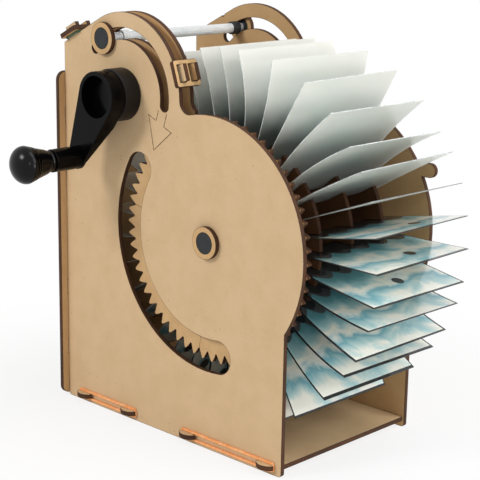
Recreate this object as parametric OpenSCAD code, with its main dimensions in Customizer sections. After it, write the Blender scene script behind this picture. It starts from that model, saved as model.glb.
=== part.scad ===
// Hand-cranked flip-card viewer cut from fibreboard sheet.
// A drum of picture cards turns between two side panels, and a rod in an arc slot flicks the cards.
// X runs along the panels towards the cards, Y from the crank side to the far side, Z up.
// The origin is the middle of the crank-side panel's foot.

/* [Sheet] */
// Thickness of the fibreboard sheet
sheet_t = 3; // [2.5:0.1:4]
// Play between a tab and its slot, each side
tab_play = 0.1; // [0.05:0.05:0.3]
// Corner rounding of the side panels' feet
foot_r = 2.5; // [1:0.5:5]
// Kerf between two sheet pieces laid edge to edge
kerf = 0.1; // [0.05:0.05:0.3]

/* [Case] */
// Distance of the crank's axis from the panels' viewer edge
crank_inset = 59.9; // [56:0.1:70]
// Distance of the panels' card edge from the drum axle
foot_reach = 66.2; // [52:0.1:76]
// Clear width between the side panels
case_gap = 120; // [112:1:150]
// Height of the straight viewer edge's end above the crank's axis
shoulder_rise = 28.5; // [18:0.5:36]
// Radius of the round lobe over the crank
crank_lobe_r = 52.6; // [50:0.2:56]
// Radius of the round lobe round the drum axle
drum_lobe_r = 80; // [77:0.5:86]
// Fillet between the two lobes
neck_fillet_r = 8; // [4:0.5:12]
// Height of the base plate's underside above the floor
base_lift = 4; // [2.5:0.5:8]
// Length of the base plate that is left open at the card side
base_setback = 1.5; // [0:0.5:6]
// Height of the viewer wall's lower edge above the floor
wall_lift = 1.5; // [0:0.5:4]
// Drop of the viewer wall's upper edge below the panels' shoulder
wall_drop = 19.5; // [12:0.5:36]
// Overhang of the viewer wall past each side panel
wall_overhang = 5.6; // [3:0.2:10]
// Corner rounding of the viewer wall
wall_corner_r = 6; // [2:0.5:12]
// Finger lug on the far panel: reach past the lobe's side
lug_reach = 13; // [6:0.5:20]
// Finger lug on the far panel: width
lug_w = 9.4; // [6:0.2:14]
// Finger lug on the far panel: height of its middle above the axle
lug_rise = 41; // [30:0.5:50]

/* [Drum] */
// Drum axle: height above the floor
axle_z = 137.4; // [130:0.1:145]
// Diameter of the drum axle and the crank shaft
shaft_d = 8; // [6:0.5:10]
// Running clearance of a shaft in its hole, on the radius
run_gap = 0.06; // [0.02:0.01:0.1]
// Radius of the card discs
disc_r = 65; // [58:0.5:72]
// Distance between the card discs, middle to middle
disc_pitch = 30; // [22:1:38]
// Depth of the card slots in the discs
card_slot_depth = 14; // [8:0.5:18]
// Number of cards
card_count = 36; // [12:12:48]
// Thickness of a card
card_t = 0.5; // [0.3:0.1:0.8]
// Width of a card along the axle
card_w = 89; // [80:1:98]
// Distance of the cards' outer edge from the axle
card_tip_r = 121; // [100:1:125]
// Play of a card in its slot, each side
card_play = 0.2; // [0.1:0.05:0.4]
// Curl of the cards that point from 50 to 20 degrees below level, upwards if positive
curl_lower = [18, 23, 11, 12]; // [-36:1:36]
// Curl of the cards that point from 30 to 60 degrees above level
curl_middle = [-4, -16, -11, 1]; // [-36:1:36]
// Curl of the cards that point from 70 to 100 degrees above level
curl_upper = [14, 32, 22, 13]; // [-36:1:36]
// Width of a drum stay along the radius
stay_w = 10; // [6:0.5:14]
// Distance of the drum stays' middle from the axle
stay_r = 34; // [24:0.5:38]
// Radius of the gear carrier
carrier_r = 62; // [58:0.5:66]
// Clearance of the gear plate round the gear carrier
carrier_gap = 2; // [1:0.5:4]

/* [Gears] */
// Pitch radius of the drum gear
drum_pitch_r = 77.1; // [74:0.1:80]
// Teeth of the drum gear
drum_teeth = 60; // [48:4:72]
// Teeth of the idler
idler_teeth = 10; // [8:1:12]
// Teeth of the crank pinion
pinion_teeth = 10; // [8:1:12]
// Pressure angle
pressure_angle = 28; // [25:0.5:30]
// Free play between meshing flanks
backlash = 0.35; // [0.2:0.05:0.6]
// Root clearance as a share of the module
root_clearance = 0.25; // [0.2:0.01:0.3]
// Direction from the axle to the crank, from the X axis
crank_dir = 133; // [130:0.5:136]
// Inner radius of the drum gear's sectors
sector_inner_r = 54; // [48:0.5:58]
// Gap between the crank-side panel and the gear plate
plate_gap = 6.6; // [5.6:0.1:9]
// Diameter of the idler's pin
idler_pin_d = 6; // [4:0.5:7]
// Margin of the gear plate below the idler's pin
plate_margin = 11; // [9:0.5:14]
// Outer diameter of a spacer ring
spacer_d = 14; // [12:0.5:16]
// Axial play of the gears and the drum, each side
side_play = 0.3; // [0.2:0.05:0.6]

/* [Window and arrow] */
// Inner radius of the gear window
window_inner_r = 62.9; // [58:0.1:68]
// Outer radius of the gear window
window_outer_r = 84.8; // [82:0.1:88]
// Direction of the window's upper end
window_start = 149.4; // [146:0.2:156]
// Direction of the window's lower end
window_end = 278; // [240:1:284]
// Width of the engraved arrow line
line_w = 0.5; // [0.3:0.05:0.8]
// Depth of the engraved arrow line
line_depth = 0.4; // [0.2:0.05:0.8]
// Turn from the rod's working end to the arrow's tail
arrow_tail_turn = 6.8; // [6:0.2:10]
// Turn from the rod's working end to the arrow's wings
arrow_head_turn = 18.5; // [14:0.5:24]
// Turn from the rod's working end to the arrow's tip
arrow_tip_turn = 43.4; // [36:0.2:50]
// Width of each arrow wing
arrow_wing = 7.6; // [4:0.2:10]
// Distance of the arrow's middle from the crank's axis
arrow_r = 37.9; // [36:0.1:40]
// Distance of the arrow's tip from the crank's axis
arrow_tip_r = 43.9; // [38:0.1:48]

/* [Stop rod] */
// Diameter of the stop rod
rod_d = 6.8; // [5:0.1:7.4]
// Clearance of the rod in its slot, each side
rod_play = 0.5; // [0.3:0.05:0.9]
// Distance of the rod from the crank's axis
rod_path_r = 38.9; // [37:0.1:40]
// Direction of the rod at the slot's working end
slot_low = -5.2; // [-10:0.2:0]
// Direction of the rod at the slot's parked end
slot_high = 135; // [126:0.5:140]
// Direction of the rod as it is parked
rod_rest = 117.5; // [110:0.5:124]
// Outer diameter of the rod's sleeves
sleeve_d = 9; // [8:0.1:9.4]
// Length of the rod's sleeves
sleeve_l = 6.5; // [4:0.5:9]
// Outer diameter of the wooden end rings
ring_d = 21; // [18:0.5:22]
// Diameter of the black end plugs
plug_d = 13.6; // [11:0.2:15]
// Length of a rod or axle end inside its plug
plug_seat = 2; // [1:0.25:2.25]
// Clearance between an end ring and its panel
ring_gap = 0.3; // [0.2:0.05:0.6]
// Clearance of a piece pressed on a rod, on the radius
press_gap = 0.02; // [0:0.01:0.05]

/* [Tabs and bands] */
// Width of a tab's neck
neck_w = 10; // [8:0.5:12]
// Width of a tab's head
head_w = 14.6; // [13:0.2:17]
// Length of a tab's head past the band
head_l = 4.6; // [3:0.2:6]
// Thickness of the rubber bands
band_t = 1.5; // [1:0.1:2]
// Clearance of a band from the tabs and panels
band_gap = 0.15; // [0.1:0.05:0.4]
// Base tabs, viewer's end: first tab's middle from the panels' viewer edge
base_inset_a = 19.5; // [16:0.5:26]
// Base tabs, viewer's end: distance of the two tabs
base_pair_a_l = 46; // [36:1:54]
// Base tabs, card end: last tab's middle from the panels' card edge
base_inset_b = 11.8; // [11:0.2:18]
// Base tabs, card end: distance of the two tabs
base_pair_b_l = 69.5; // [54:0.5:72]
// Wall tabs: height of the lower pair's middle
wall_pair_low = 58; // [52:1:80]
// Wall tabs: upper pair's middle below the wall's upper edge
wall_inset_high = 52; // [46:1:80]
// Wall tabs: distance of the two tabs in a pair
wall_pair_l = 44; // [34:1:50]

/* [Buckles] */
// Width of a buckle across the two plates
buckle_w = 20; // [19:0.5:26]
// Height of a buckle along the plates' edge
buckle_h = 17; // [16:0.5:22]
// Corner rounding of a buckle
buckle_corner_r = 1.6; // [0.5:0.1:3]
// Width of a buckle's slots
buckle_slot_w = 5.2; // [4.5:0.1:5.6]
// Width of the tabs that pass through a buckle
buckle_tab_w = 11; // [9:0.5:12]
// Length of the tabs past a buckle
buckle_tab_l = 3.6; // [1:0.1:4]
// Thickness of the strap band under a buckle
strap_t = 1; // [0.6:0.1:1.6]
// Direction of the neck buckle from the crank's axis
neck_buckle_dir = 19; // [15:0.5:26]
// Place of the slope buckle along the sloped edge
slope_buckle_l = 11; // [10:0.5:22]

/* [Crank] */
// Outer diameter of the boss between the crank and the panel
boss_d = 34.2; // [30:0.2:38]
// Length of the boss
boss_l = 12.4; // [8:0.1:18]
// Outer diameter of the crank's hub
hub_d = 32.6; // [28:0.2:36]
// Length of the crank's hub
hub_l = 11.3; // [8:0.1:16]
// Diameter of the recess in the hub's face
recess_d = 27; // [20:0.2:27.6]
// Thickness of the recess's floor
recess_floor = 3.2; // [2.5:0.1:5]
// Length of the shaft inside the recess's floor
shaft_seat = 2; // [1:0.1:2.4]
// Thickness of the crank's arm at the post
arm_tip_t = 2.5; // [2:0.1:6]
// Distance of the knob's axis from the crank's axis
arm_l = 46.2; // [38:0.2:54]
// Direction of the arm
arm_dir = 244.2; // [180:0.2:300]
// Diameter of the post that carries the knob
post_d = 15; // [12:0.2:18]
// Length of the post in front of the arm
post_l = 20.5; // [14:0.5:28]
// Step from the arm's round end to the post
post_step = 0.3; // [0.2:0.1:1]
// Diameter of the knob's spindle
spindle_d = 5; // [4:0.5:6]
// Length of the spindle inside the post
spindle_seat = 12; // [8:0.5:14]
// Length of the spindle inside the knob
spindle_reach = 16; // [10:0.5:20]
// Gap between the post and the knob
knob_gap = 0.6; // [0.3:0.1:0.9]
// Diameter of the knob's neck
knob_neck_d = 14; // [12:0.5:16]
// Largest diameter of the knob
knob_d = 24.6; // [20:0.2:28]
// Length of the knob from its neck to its largest diameter
knob_flare_l = 20; // [14:0.5:26]
// Length of the knob's domed end
knob_dome_l = 8.5; // [8:0.5:12]
// Width of the grooves round the knob
knob_groove_w = 0.9; // [0.5:0.1:1.5]
// Depth of the grooves round the knob
knob_groove_depth = 0.8; // [0.4:0.1:1.2]
// Distance of the grooves from each other and from the largest diameter
knob_groove_pitch = 2.4; // [2:0.1:4]

/* [Hidden] */
$fn = 96;
over = 1;
// Lines and arcs that blend run this far into each other, so that they cross cleanly
graze = 0.03;
wood = "burlywood";
black = "#1b1b1c";
grey_black = "#383838";
orange = "#f09650";
green = "#506e5a";
steel = "silver";

// Gears: the crank's place follows from the axle and the gear sizes
gear_m = 2 * drum_pitch_r / drum_teeth;
idler_pitch_r = gear_m * idler_teeth / 2;
pinion_pitch_r = gear_m * pinion_teeth / 2;
idler_far = drum_pitch_r + idler_pitch_r;
crank_far = idler_far + idler_pitch_r + pinion_pitch_r;
function away(from, far, dir) = from + far * [cos(dir), sin(dir)];

// Case: its length follows from the crank's and the axle's places
axle_inset = crank_inset - crank_far * cos(crank_dir);
case_l = axle_inset + foot_reach;
left_x = -case_l / 2;
right_x = case_l / 2;
axle = [left_x + axle_inset, axle_z];
idler = away(axle, idler_far, crank_dir);
crank = away(axle, crank_far, crank_dir);
front_y = -sheet_t / 2;
front_in_y = front_y + sheet_t;
rear_y = front_in_y + case_gap;
rear_out_y = rear_y + sheet_t;
mid_y = (front_y + rear_out_y) / 2;
base_end_x = right_x - base_setback;

// Layers behind the crank-side panel
gear_plate_y = front_in_y + plate_gap;
gear_plate_out_y = gear_plate_y + sheet_t;
gear_y = front_in_y + (plate_gap - sheet_t) / 2;
gear_out_y = gear_y + sheet_t;
carrier_out_y = gear_out_y + sheet_t;
gear_plate_low = idler[1] - plate_margin;
shaft_r = shaft_d / 2;
hole_r = shaft_r + run_gap;
spacer_r = spacer_d / 2;

slot_r = rod_d / 2 + rod_play;
window_mid_r = (window_inner_r + window_outer_r) / 2;
window_half_w = (window_outer_r - window_inner_r) / 2;

band_out = band_t + 2 * band_gap;
strap_out = strap_t + 2 * band_gap;
head_chord = head_w / 2;
head_r = (head_chord * head_chord + head_l * head_l) / (2 * head_l);

// Sloped edge from the shoulder to the crank lobe, which it touches
shoulder_h = crank[1] + shoulder_rise;
shoulder = [left_x, shoulder_h];
shoulder_far = norm(crank - shoulder);
slope_r = crank_lobe_r - graze;
slope_dir = atan2(crank[1] - shoulder[1], crank[0] - shoulder[0]) + asin(slope_r / shoulder_far);
slope_touch = away(crank, slope_r, slope_dir + 90);
wall_top = shoulder_h - wall_drop;

// Fillet that touches both lobes
fillet_far = drum_lobe_r + neck_fillet_r - graze;
fillet_near = crank_lobe_r + neck_fillet_r - graze;
fillet_reach = (fillet_far * fillet_far + crank_far * crank_far - fillet_near * fillet_near) / (2 * crank_far);
fillet_mid = away(axle, fillet_far, crank_dir - acos(fillet_reach / fillet_far));
kink_z = axle_z - sqrt(drum_lobe_r * drum_lobe_r - foot_reach * foot_reach);
// The gear plate ends under the neck's fillet and doesn't follow the drum's lobe
gear_plate_right = fillet_mid[0] - neck_fillet_r / 2;

// Cards and discs, about the middle of the case
card_root_r = disc_r - card_slot_depth + card_play;
card_slot_w = card_t + 2 * card_play;
card_y = mid_y - card_w / 2;
card_bend_r = disc_r + card_play;
disc_ys = [mid_y - disc_pitch, mid_y, mid_y + disc_pitch];

// Curl of a card by where it points, in degrees: the three fans above, and flat cards elsewhere
curl_step = 10;
curl_lower_from = -50;
curl_middle_from = 30;
curl_upper_from = 70;
function curl_fan(from, curls) = [for (i = [0:len(curls) - 1]) [from + i * curl_step, curls[i]]];
curl_keys = concat([[curl_lower_from - curl_step, 0]], curl_fan(curl_lower_from, curl_lower),
    [[curl_lower_from + len(curl_lower) * curl_step, 0], [curl_middle_from - curl_step, 0]],
    curl_fan(curl_middle_from, curl_middle), curl_fan(curl_upper_from, curl_upper),
    [[curl_upper_from + len(curl_upper) * curl_step, 0]]);
function card_curl(dir) = lookup(dir > 180 ? dir - 360 : dir, curl_keys);

// Middles of the tabs along a panel's foot and up its viewer edge
base_pair_a = left_x + base_inset_a + base_pair_a_l / 2;
base_pair_b = right_x - base_inset_b - base_pair_b_l / 2;
base_tab_xs = [base_pair_a - base_pair_a_l / 2, base_pair_a + base_pair_a_l / 2,
    base_pair_b - base_pair_b_l / 2, base_pair_b + base_pair_b_l / 2];
wall_pair_high = wall_top - wall_inset_high;
wall_tab_zs = [wall_pair_low - wall_pair_l / 2, wall_pair_low + wall_pair_l / 2,
    wall_pair_high - wall_pair_l / 2, wall_pair_high + wall_pair_l / 2];

// Buckles: the front tab's slot is wide towards the front
buckle_y = (front_y + gear_plate_out_y) / 2;
buckle_slot_shift = (buckle_slot_w - sheet_t) / 2 - tab_play;
buckle_tab_reach = strap_out + sheet_t + buckle_tab_l;
neck_place = away(crank, crank_lobe_r, neck_buckle_dir);
slope_place = away(shoulder, slope_buckle_l, slope_dir);

// Bands and end rings outside the panels
base_band_front_y = front_y - band_gap - band_t;
base_band_rear_y = rear_out_y + band_gap;
ring_front_y = front_y - ring_gap - sheet_t;
ring_rear_y = rear_out_y + ring_gap;
plug_front_seat_y = ring_front_y + sheet_t - plug_seat;
plug_rear_seat_y = ring_rear_y + plug_seat - sheet_t;

// Crank: boss on the panel's side, hub, arm, post and knob in front of it
boss_back_y = front_y - ring_gap;
hub_back_y = boss_back_y - boss_l;
hub_front_y = hub_back_y - hub_l;
knob_axis = away(crank, arm_l, arm_dir);
post_front_y = hub_front_y - post_l;
knob_back_y = post_front_y - knob_gap;
shaft_end_y = hub_back_y - shaft_seat;
collar_y = gear_plate_out_y + side_play;

rod_place = away(crank, rod_path_r, rod_rest);
rod_r = rod_d / 2;

// A sheet piece drawn in X and Z that stands from y0, with the given thickness
module upright(y0, t = sheet_t) {
    translate([0, y0 + t, 0]) rotate([90, 0, 0]) linear_extrude(t) children();
}

// A round bar along Y at a place in X and Z
module bar(at, y0, y1, r) {
    translate([at[0], y1, at[1]]) rotate([90, 0, 0]) cylinder(h = y1 - y0, r = r);
}

// A flat ring along Y at a place in X and Z
module ring(at, y0, y1, r, bore_r) {
    difference() {
        bar(at, y0, y1, r);
        bar(at, y0 - over, y1 + over, bore_r);
    }
}

// A rectangle with round corners about the middle of its own plane
module round_rect(w, h, r) {
    square([w - 2 * r, h], center = true);
    square([w, h - 2 * r], center = true);
    for (sx = [-1, 1], sy = [-1, 1]) {
        translate([sx * (w / 2 - r), sy * (h / 2 - r)]) circle(r);
    }
}

// A pie slice that reaches past radius r
module wedge(from, to, r) {
    steps = ceil((to - from) / 45);
    polygon(concat([[0, 0]],
        [for (i = [0:steps]) away([0, 0], 2 * r, from + (to - from) * i / steps)]));
}

// An arc slot with round ends about the origin of its own plane
module arc_slot(mid_r, half_w, from, to) {
    difference() {
        circle(mid_r + half_w);
        circle(mid_r - half_w);
        wedge(to, from + 360, mid_r + half_w);
    }
    for (dir = [from, to]) {
        translate(away([0, 0], mid_r, dir)) circle(half_w + graze);
    }
}

// A straight engraved stroke between two points
module stroke(a, b) {
    translate(a) rotate(atan2(b[1] - a[1], b[0] - a[0]))
        translate([-line_w / 2, -line_w / 2]) square([norm(b - a) + line_w, line_w]);
}

// A hook tab: its neck passes a sheet of thickness through, its round head holds a band
module hook_tab(through) {
    translate([-neck_w / 2, -over]) square([neck_w, through + band_out + 2 * over]);
    translate([0, through + band_out]) intersection() {
        translate([0, head_l - head_r]) circle(head_r);
        translate([-head_w, 0]) square([2 * head_w, 2 * head_l]);
    }
}

// A loop of rubber band round two tabs, drawn about the pair's middle
module band_loop(l, h) {
    inner_l = l + 2 * band_gap;
    inner_h = h + 2 * band_gap;
    difference() {
        round_rect(inner_l + 2 * band_t, inner_h + 2 * band_t, band_t + band_gap);
        round_rect(inner_l, inner_h, band_gap);
    }
}

// Gear teeth from the involute of the base circle
function involute(angle) = tan(angle) * 180 / PI - angle;
function tooth_half(n, r) =
    let (pitch_r = gear_m * n / 2)
    let (base_r = pitch_r * cos(pressure_angle))
    let (at = acos(min(1, base_r / r)))
    90 / n - backlash / 4 / pitch_r * 180 / PI + involute(pressure_angle) - involute(at);
function flank_radii(n) =
    let (pitch_r = gear_m * n / 2)
    let (root_r = pitch_r - gear_m * (1 + root_clearance))
    let (start_r = max(root_r, pitch_r * cos(pressure_angle)))
    let (tip_r = pitch_r + gear_m)
    concat(start_r > root_r ? [root_r] : [], [for (i = [0:5]) start_r + (tip_r - start_r) * i / 5]);
function tooth(n, turn) =
    let (radii = flank_radii(n))
    let (last = len(radii) - 1)
    concat([for (i = [0:last]) away([0, 0], radii[i], turn - tooth_half(n, radii[i]))],
        [for (i = [last:-1:0]) away([0, 0], radii[i], turn + tooth_half(n, radii[i]))]);

// Turn of gear b that puts its gaps on gear a's teeth, on the line from the axle to the crank
function mesh_turn(turn_a, teeth_a, teeth_b) =
    crank_dir + 180 - (turn_a - crank_dir) * teeth_a / teeth_b + 180 / teeth_b;
idler_turn = mesh_turn(0, drum_teeth, idler_teeth);
pinion_turn = mesh_turn(idler_turn, idler_teeth, pinion_teeth);

module gear_outline(n, turn) {
    polygon([for (i = [0:n - 1]) each tooth(n, turn + 360 * i / n)]);
}

// The outline that both side panels share: foot, two lobes, the fillet between them and the sloped shoulder
module panel_outline() {
    difference() {
        union() {
            polygon([[left_x, 0], [right_x, 0], [right_x, kink_z + over], axle, fillet_mid, crank,
                slope_touch, shoulder]);
            translate(axle) circle(drum_lobe_r);
            translate(crank) circle(crank_lobe_r);
        }
        translate(fillet_mid) circle(neck_fillet_r);
        translate([left_x, 0]) foot_corner();
        translate([right_x, 0]) mirror([1, 0]) foot_corner();
    }
}

// The sliver that rounds a foot's corner, drawn at a left corner
module foot_corner() {
    difference() {
        translate([-over, -over]) square(foot_r + over);
        translate([foot_r, foot_r]) circle(foot_r + graze);
    }
}

// The slots that take the base plate's tabs
module base_slots() {
    for (x = base_tab_xs) {
        translate([x, base_lift + sheet_t / 2])
            square([neck_w + 2 * tab_play, sheet_t + 2 * tab_play], center = true);
    }
}

// A side panel's tabs for the viewer wall
module wall_tabs() {
    for (z = wall_tab_zs) {
        translate([left_x, z]) rotate(90) hook_tab(sheet_t);
    }
}

// The arc slot that guides the stop rod
module rod_slot() {
    translate(crank) arc_slot(rod_path_r, slot_r, slot_low, slot_high);
}

// Tabs for the two buckles, on the neck and on the sloped edge
module buckle_tabs() {
    translate(neck_place) rotate(neck_buckle_dir - 90) buckle_tab();
    translate(slope_place) rotate(slope_dir) buckle_tab();
}

// One buckle tab, rooted well inside the plate's edge
module buckle_tab() {
    translate([-buckle_tab_w / 2, -sheet_t]) square([buckle_tab_w, sheet_t + buckle_tab_reach]);
}

// The engraved arrow's line: it follows on from the slot's working end
module arrow_line() {
    tail = slot_low - arrow_tail_turn;
    head = slot_low - arrow_head_turn;
    tip = slot_low - arrow_tip_turn;
    points = [away(crank, arrow_r - slot_r, tail), away(crank, arrow_r - slot_r, head),
        away(crank, arrow_r - slot_r - arrow_wing, head), away(crank, arrow_tip_r, tip),
        away(crank, arrow_r + slot_r + arrow_wing, head), away(crank, arrow_r + slot_r, head),
        away(crank, arrow_r + slot_r, tail)];
    for (i = [0:len(points) - 2]) {
        stroke(points[i], points[i + 1]);
    }
}

module front_panel() {
    color(wood) difference() {
        upright(front_y) difference() {
            union() {
                panel_outline();
                wall_tabs();
                buckle_tabs();
            }
            base_slots();
            rod_slot();
            translate(axle) arc_slot(window_mid_r, window_half_w, window_start, window_end);
        }
        bar(axle, front_y - over, front_in_y + over, hole_r);
        bar(crank, front_y - over, front_in_y + over, hole_r);
        upright(front_y - over, over + line_depth) arrow_line();
    }
}

module gear_plate() {
    color(wood) difference() {
        upright(gear_plate_y) difference() {
            union() {
                intersection() {
                    panel_outline();
                    translate([left_x - over, gear_plate_low]) square([case_l + 2 * over, shoulder_h]);
                }
                buckle_tabs();
            }
            translate([gear_plate_right, 0]) square([case_l, fillet_mid[1]]);
            rod_slot();
            translate(axle) circle(carrier_r + carrier_gap);
        }
        bar(crank, gear_plate_y - over, gear_plate_out_y + over, hole_r);
        bar(idler, gear_plate_y - over, gear_plate_out_y + over, idler_pin_d / 2 + press_gap);
    }
}

module rear_panel() {
    nick_r = 1.2;
    nick_l = 31;
    color(wood) difference() {
        upright(rear_y) difference() {
            union() {
                panel_outline();
                wall_tabs();
                finger_lug();
            }
            base_slots();
            rod_slot();
            translate(away(shoulder, nick_l, slope_dir)) circle(nick_r);
        }
        bar(axle, rear_y - over, rear_out_y + over, hole_r);
    }
}

// A rounded lug that stands out of the far panel's drum lobe
module finger_lug() {
    lobe_x = sqrt(drum_lobe_r * drum_lobe_r - lug_rise * lug_rise);
    translate(axle + [0, lug_rise]) {
        translate([lobe_x - lug_w, -lug_w / 2]) square([lug_reach + lug_w / 2, lug_w]);
        translate([lobe_x + lug_reach - lug_w / 2, 0]) circle(lug_w / 2);
    }
}

module viewer_wall() {
    wall_w = case_gap + 2 * sheet_t + 2 * wall_overhang;
    wall_h = wall_top - wall_lift;
    color(wood) translate([left_x, mid_y, 0]) rotate([0, -90, 0]) linear_extrude(sheet_t) difference() {
        translate([wall_lift + wall_h / 2, 0]) round_rect(wall_h, wall_w, wall_corner_r);
        for (z = wall_tab_zs, side = [-1, 1]) {
            translate([z, side * (case_gap + sheet_t) / 2])
                square([neck_w + 2 * tab_play, sheet_t + 2 * tab_play], center = true);
        }
    }
}

module base_plate() {
    color(wood) translate([0, 0, base_lift]) linear_extrude(sheet_t) {
        translate([left_x + kerf, front_in_y + kerf])
            square([base_end_x - left_x - kerf, case_gap - 2 * kerf]);
        for (x = base_tab_xs) {
            translate([x, front_in_y + kerf]) rotate(180) hook_tab(sheet_t + kerf);
            translate([x, rear_y - kerf]) hook_tab(sheet_t + kerf);
        }
    }
}

// What stands on a plate's edge: local X along the edge, local Z outwards
module on_edge(place, turn) {
    translate([place[0], 0, place[1]]) rotate([0, -turn, 0]) children();
}

// A buckle plate with one slot for each of the two plates' tabs
module buckle() {
    translate([0, buckle_y - buckle_slot_shift, strap_out]) linear_extrude(sheet_t) difference() {
        round_rect(buckle_h, buckle_w, buckle_corner_r);
        for (y = [front_y, gear_plate_y]) {
            translate([0, y + sheet_t / 2 - buckle_y])
                square([buckle_tab_w + 2 * tab_play, buckle_slot_w], center = true);
        }
    }
}

// The band under a buckle, round the tabs of both plates
module buckle_band() {
    translate([0, buckle_y, band_gap]) linear_extrude(strap_t)
        band_loop(buckle_tab_w, gear_plate_out_y - front_y);
}

module neck_buckle() {
    color(wood) on_edge(neck_place, neck_buckle_dir - 90) buckle();
}

module slope_buckle() {
    color(wood) on_edge(slope_place, slope_dir) buckle();
}

module neck_band() {
    color(green) on_edge(neck_place, neck_buckle_dir - 90) buckle_band();
}

module slope_band() {
    color(green) on_edge(slope_place, slope_dir) buckle_band();
}

// A band round two base tabs, outside one of the side panels
module base_band(mid_x, pair_l, y0) {
    color(orange) translate([mid_x, 0, base_lift + sheet_t / 2])
        upright(y0, band_t) band_loop(pair_l + neck_w, sheet_t);
}

// A band round two wall tabs of one side panel, outside the viewer wall
module wall_band(mid_z, y) {
    color(orange) translate([left_x - sheet_t - band_gap, y + sheet_t / 2, mid_z]) rotate([0, -90, 0])
        linear_extrude(band_t) band_loop(wall_pair_l + neck_w, sheet_t);
}

module base_band_front_viewer_end() { base_band(base_pair_a, base_pair_a_l, base_band_front_y); }
module base_band_front_card_end() { base_band(base_pair_b, base_pair_b_l, base_band_front_y); }
module base_band_rear_viewer_end() { base_band(base_pair_a, base_pair_a_l, base_band_rear_y); }
module base_band_rear_card_end() { base_band(base_pair_b, base_pair_b_l, base_band_rear_y); }
module wall_band_front_lower() { wall_band(wall_pair_low, front_y); }
module wall_band_front_upper() { wall_band(wall_pair_high, front_y); }
module wall_band_rear_lower() { wall_band(wall_pair_low, rear_y); }
module wall_band_rear_upper() { wall_band(wall_pair_high, rear_y); }

module idler_pin() {
    color(steel) bar(idler, front_in_y + side_play, gear_plate_out_y, idler_pin_d / 2);
}

// A ring on each side of a gear that keeps it in the middle of the gap
module gear_spacers(at, bore_r) {
    ring(at, front_in_y + side_play, gear_y - side_play, spacer_r, bore_r);
    ring(at, gear_out_y + side_play, gear_plate_y - side_play, spacer_r, bore_r);
}

module idler_spacers() {
    color(wood) gear_spacers(idler, idler_pin_d / 2 + press_gap);
}

// Direction of a joint between two sectors of the drum gear, in a gap between teeth
sector_lead = 9;
function sector_joint(i) = (floor(drum_teeth * (90 * i - sector_lead) / 360) + 0.5) * 360 / drum_teeth;

// One quarter of the toothed ring that drives the drum
module gear_sector(i) {
    slit = asin(kerf / 2 / drum_pitch_r);
    color(wood) upright(gear_y) translate(axle) intersection() {
        difference() {
            gear_outline(drum_teeth, 0);
            circle(sector_inner_r);
        }
        wedge(sector_joint(i) + slit, sector_joint(i + 1) - slit, drum_pitch_r);
    }
}

module gear_sector_right() { gear_sector(0); }
module gear_sector_top() { gear_sector(1); }
module gear_sector_left() { gear_sector(2); }
module gear_sector_bottom() { gear_sector(3); }

// The slots that take the drum's stays
module stay_slots() {
    for (i = [0:3]) {
        rotate(45 + 90 * i) translate([stay_r, 0])
            square([stay_w + 2 * tab_play, sheet_t + 2 * tab_play], center = true);
    }
}

module gear_carrier() {
    color(wood) difference() {
        upright(gear_out_y) translate(axle) difference() {
            circle(carrier_r);
            stay_slots();
        }
        bar(axle, gear_out_y - over, carrier_out_y + over, shaft_r + press_gap);
    }
}

// A disc with a slot in its rim for each card
module card_disc(i) {
    y0 = disc_ys[i] - sheet_t / 2;
    color(wood) difference() {
        upright(y0) translate(axle) difference() {
            circle(disc_r);
            stay_slots();
            for (c = [0:card_count - 1]) {
                rotate(360 * c / card_count) translate([disc_r - card_slot_depth, -card_slot_w / 2])
                    square([card_slot_depth + over, card_slot_w]);
            }
        }
        bar(axle, y0 - over, y0 + sheet_t + over, shaft_r + press_gap);
    }
}

module card_disc_front() { card_disc(0); }
module card_disc_middle() { card_disc(1); }
module card_disc_rear() { card_disc(2); }

// A flat bar that ties the gear carrier and the card discs together
module drum_stay(i) {
    stay_end_y = disc_ys[2] + sheet_t / 2;
    color(wood) upright(gear_out_y, stay_end_y - gear_out_y) translate(axle)
        rotate(45 + 90 * i) translate([stay_r, 0]) square([stay_w, sheet_t], center = true);
}

module drum_stay_upper_right() { drum_stay(0); }
module drum_stay_upper_left() { drum_stay(1); }
module drum_stay_lower_left() { drum_stay(2); }
module drum_stay_lower_right() { drum_stay(3); }

module drum_axle() {
    color(grey_black) bar(axle, plug_front_seat_y, ring_rear_y + plug_seat, shaft_r);
}

module axle_spacer_front() {
    color(wood) ring(axle, front_in_y + side_play, gear_out_y, spacer_r, shaft_r + press_gap);
}

module axle_spacer_rear() {
    color(wood) ring(axle, disc_ys[2] + sheet_t / 2, rear_y - side_play, spacer_r, shaft_r + press_gap);
}

// A wooden end ring, and the black plug inside it on a rod's end
module end_ring(at, y0) {
    color(wood) ring(at, y0, y0 + sheet_t, ring_d / 2, plug_d / 2 + press_gap);
}

module end_plug(at, y0, seat_y0, r) {
    color(grey_black) difference() {
        bar(at, y0, y0 + sheet_t, plug_d / 2);
        bar(at, seat_y0, seat_y0 + sheet_t, r + press_gap);
    }
}

module axle_ring_front() { end_ring(axle, ring_front_y); }
module axle_ring_rear() { end_ring(axle, ring_rear_y); }
module axle_plug_front() { end_plug(axle, ring_front_y, plug_front_seat_y, shaft_r); }
module axle_plug_rear() { end_plug(axle, ring_rear_y, plug_rear_seat_y, shaft_r); }

// The free part of a card, which curls about a line along the axle's way
module card_curve(curl) {
    side = sign(curl);
    curl_r = (card_tip_r - card_bend_r) * 180 / (PI * abs(curl));
    translate([card_bend_r, side * curl_r]) intersection() {
        difference() {
            circle(curl_r + card_t / 2);
            circle(curl_r - card_t / 2);
        }
        wedge(-side * 90 + min(curl, 0), -side * 90 + max(curl, 0), curl_r);
    }
}

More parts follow.
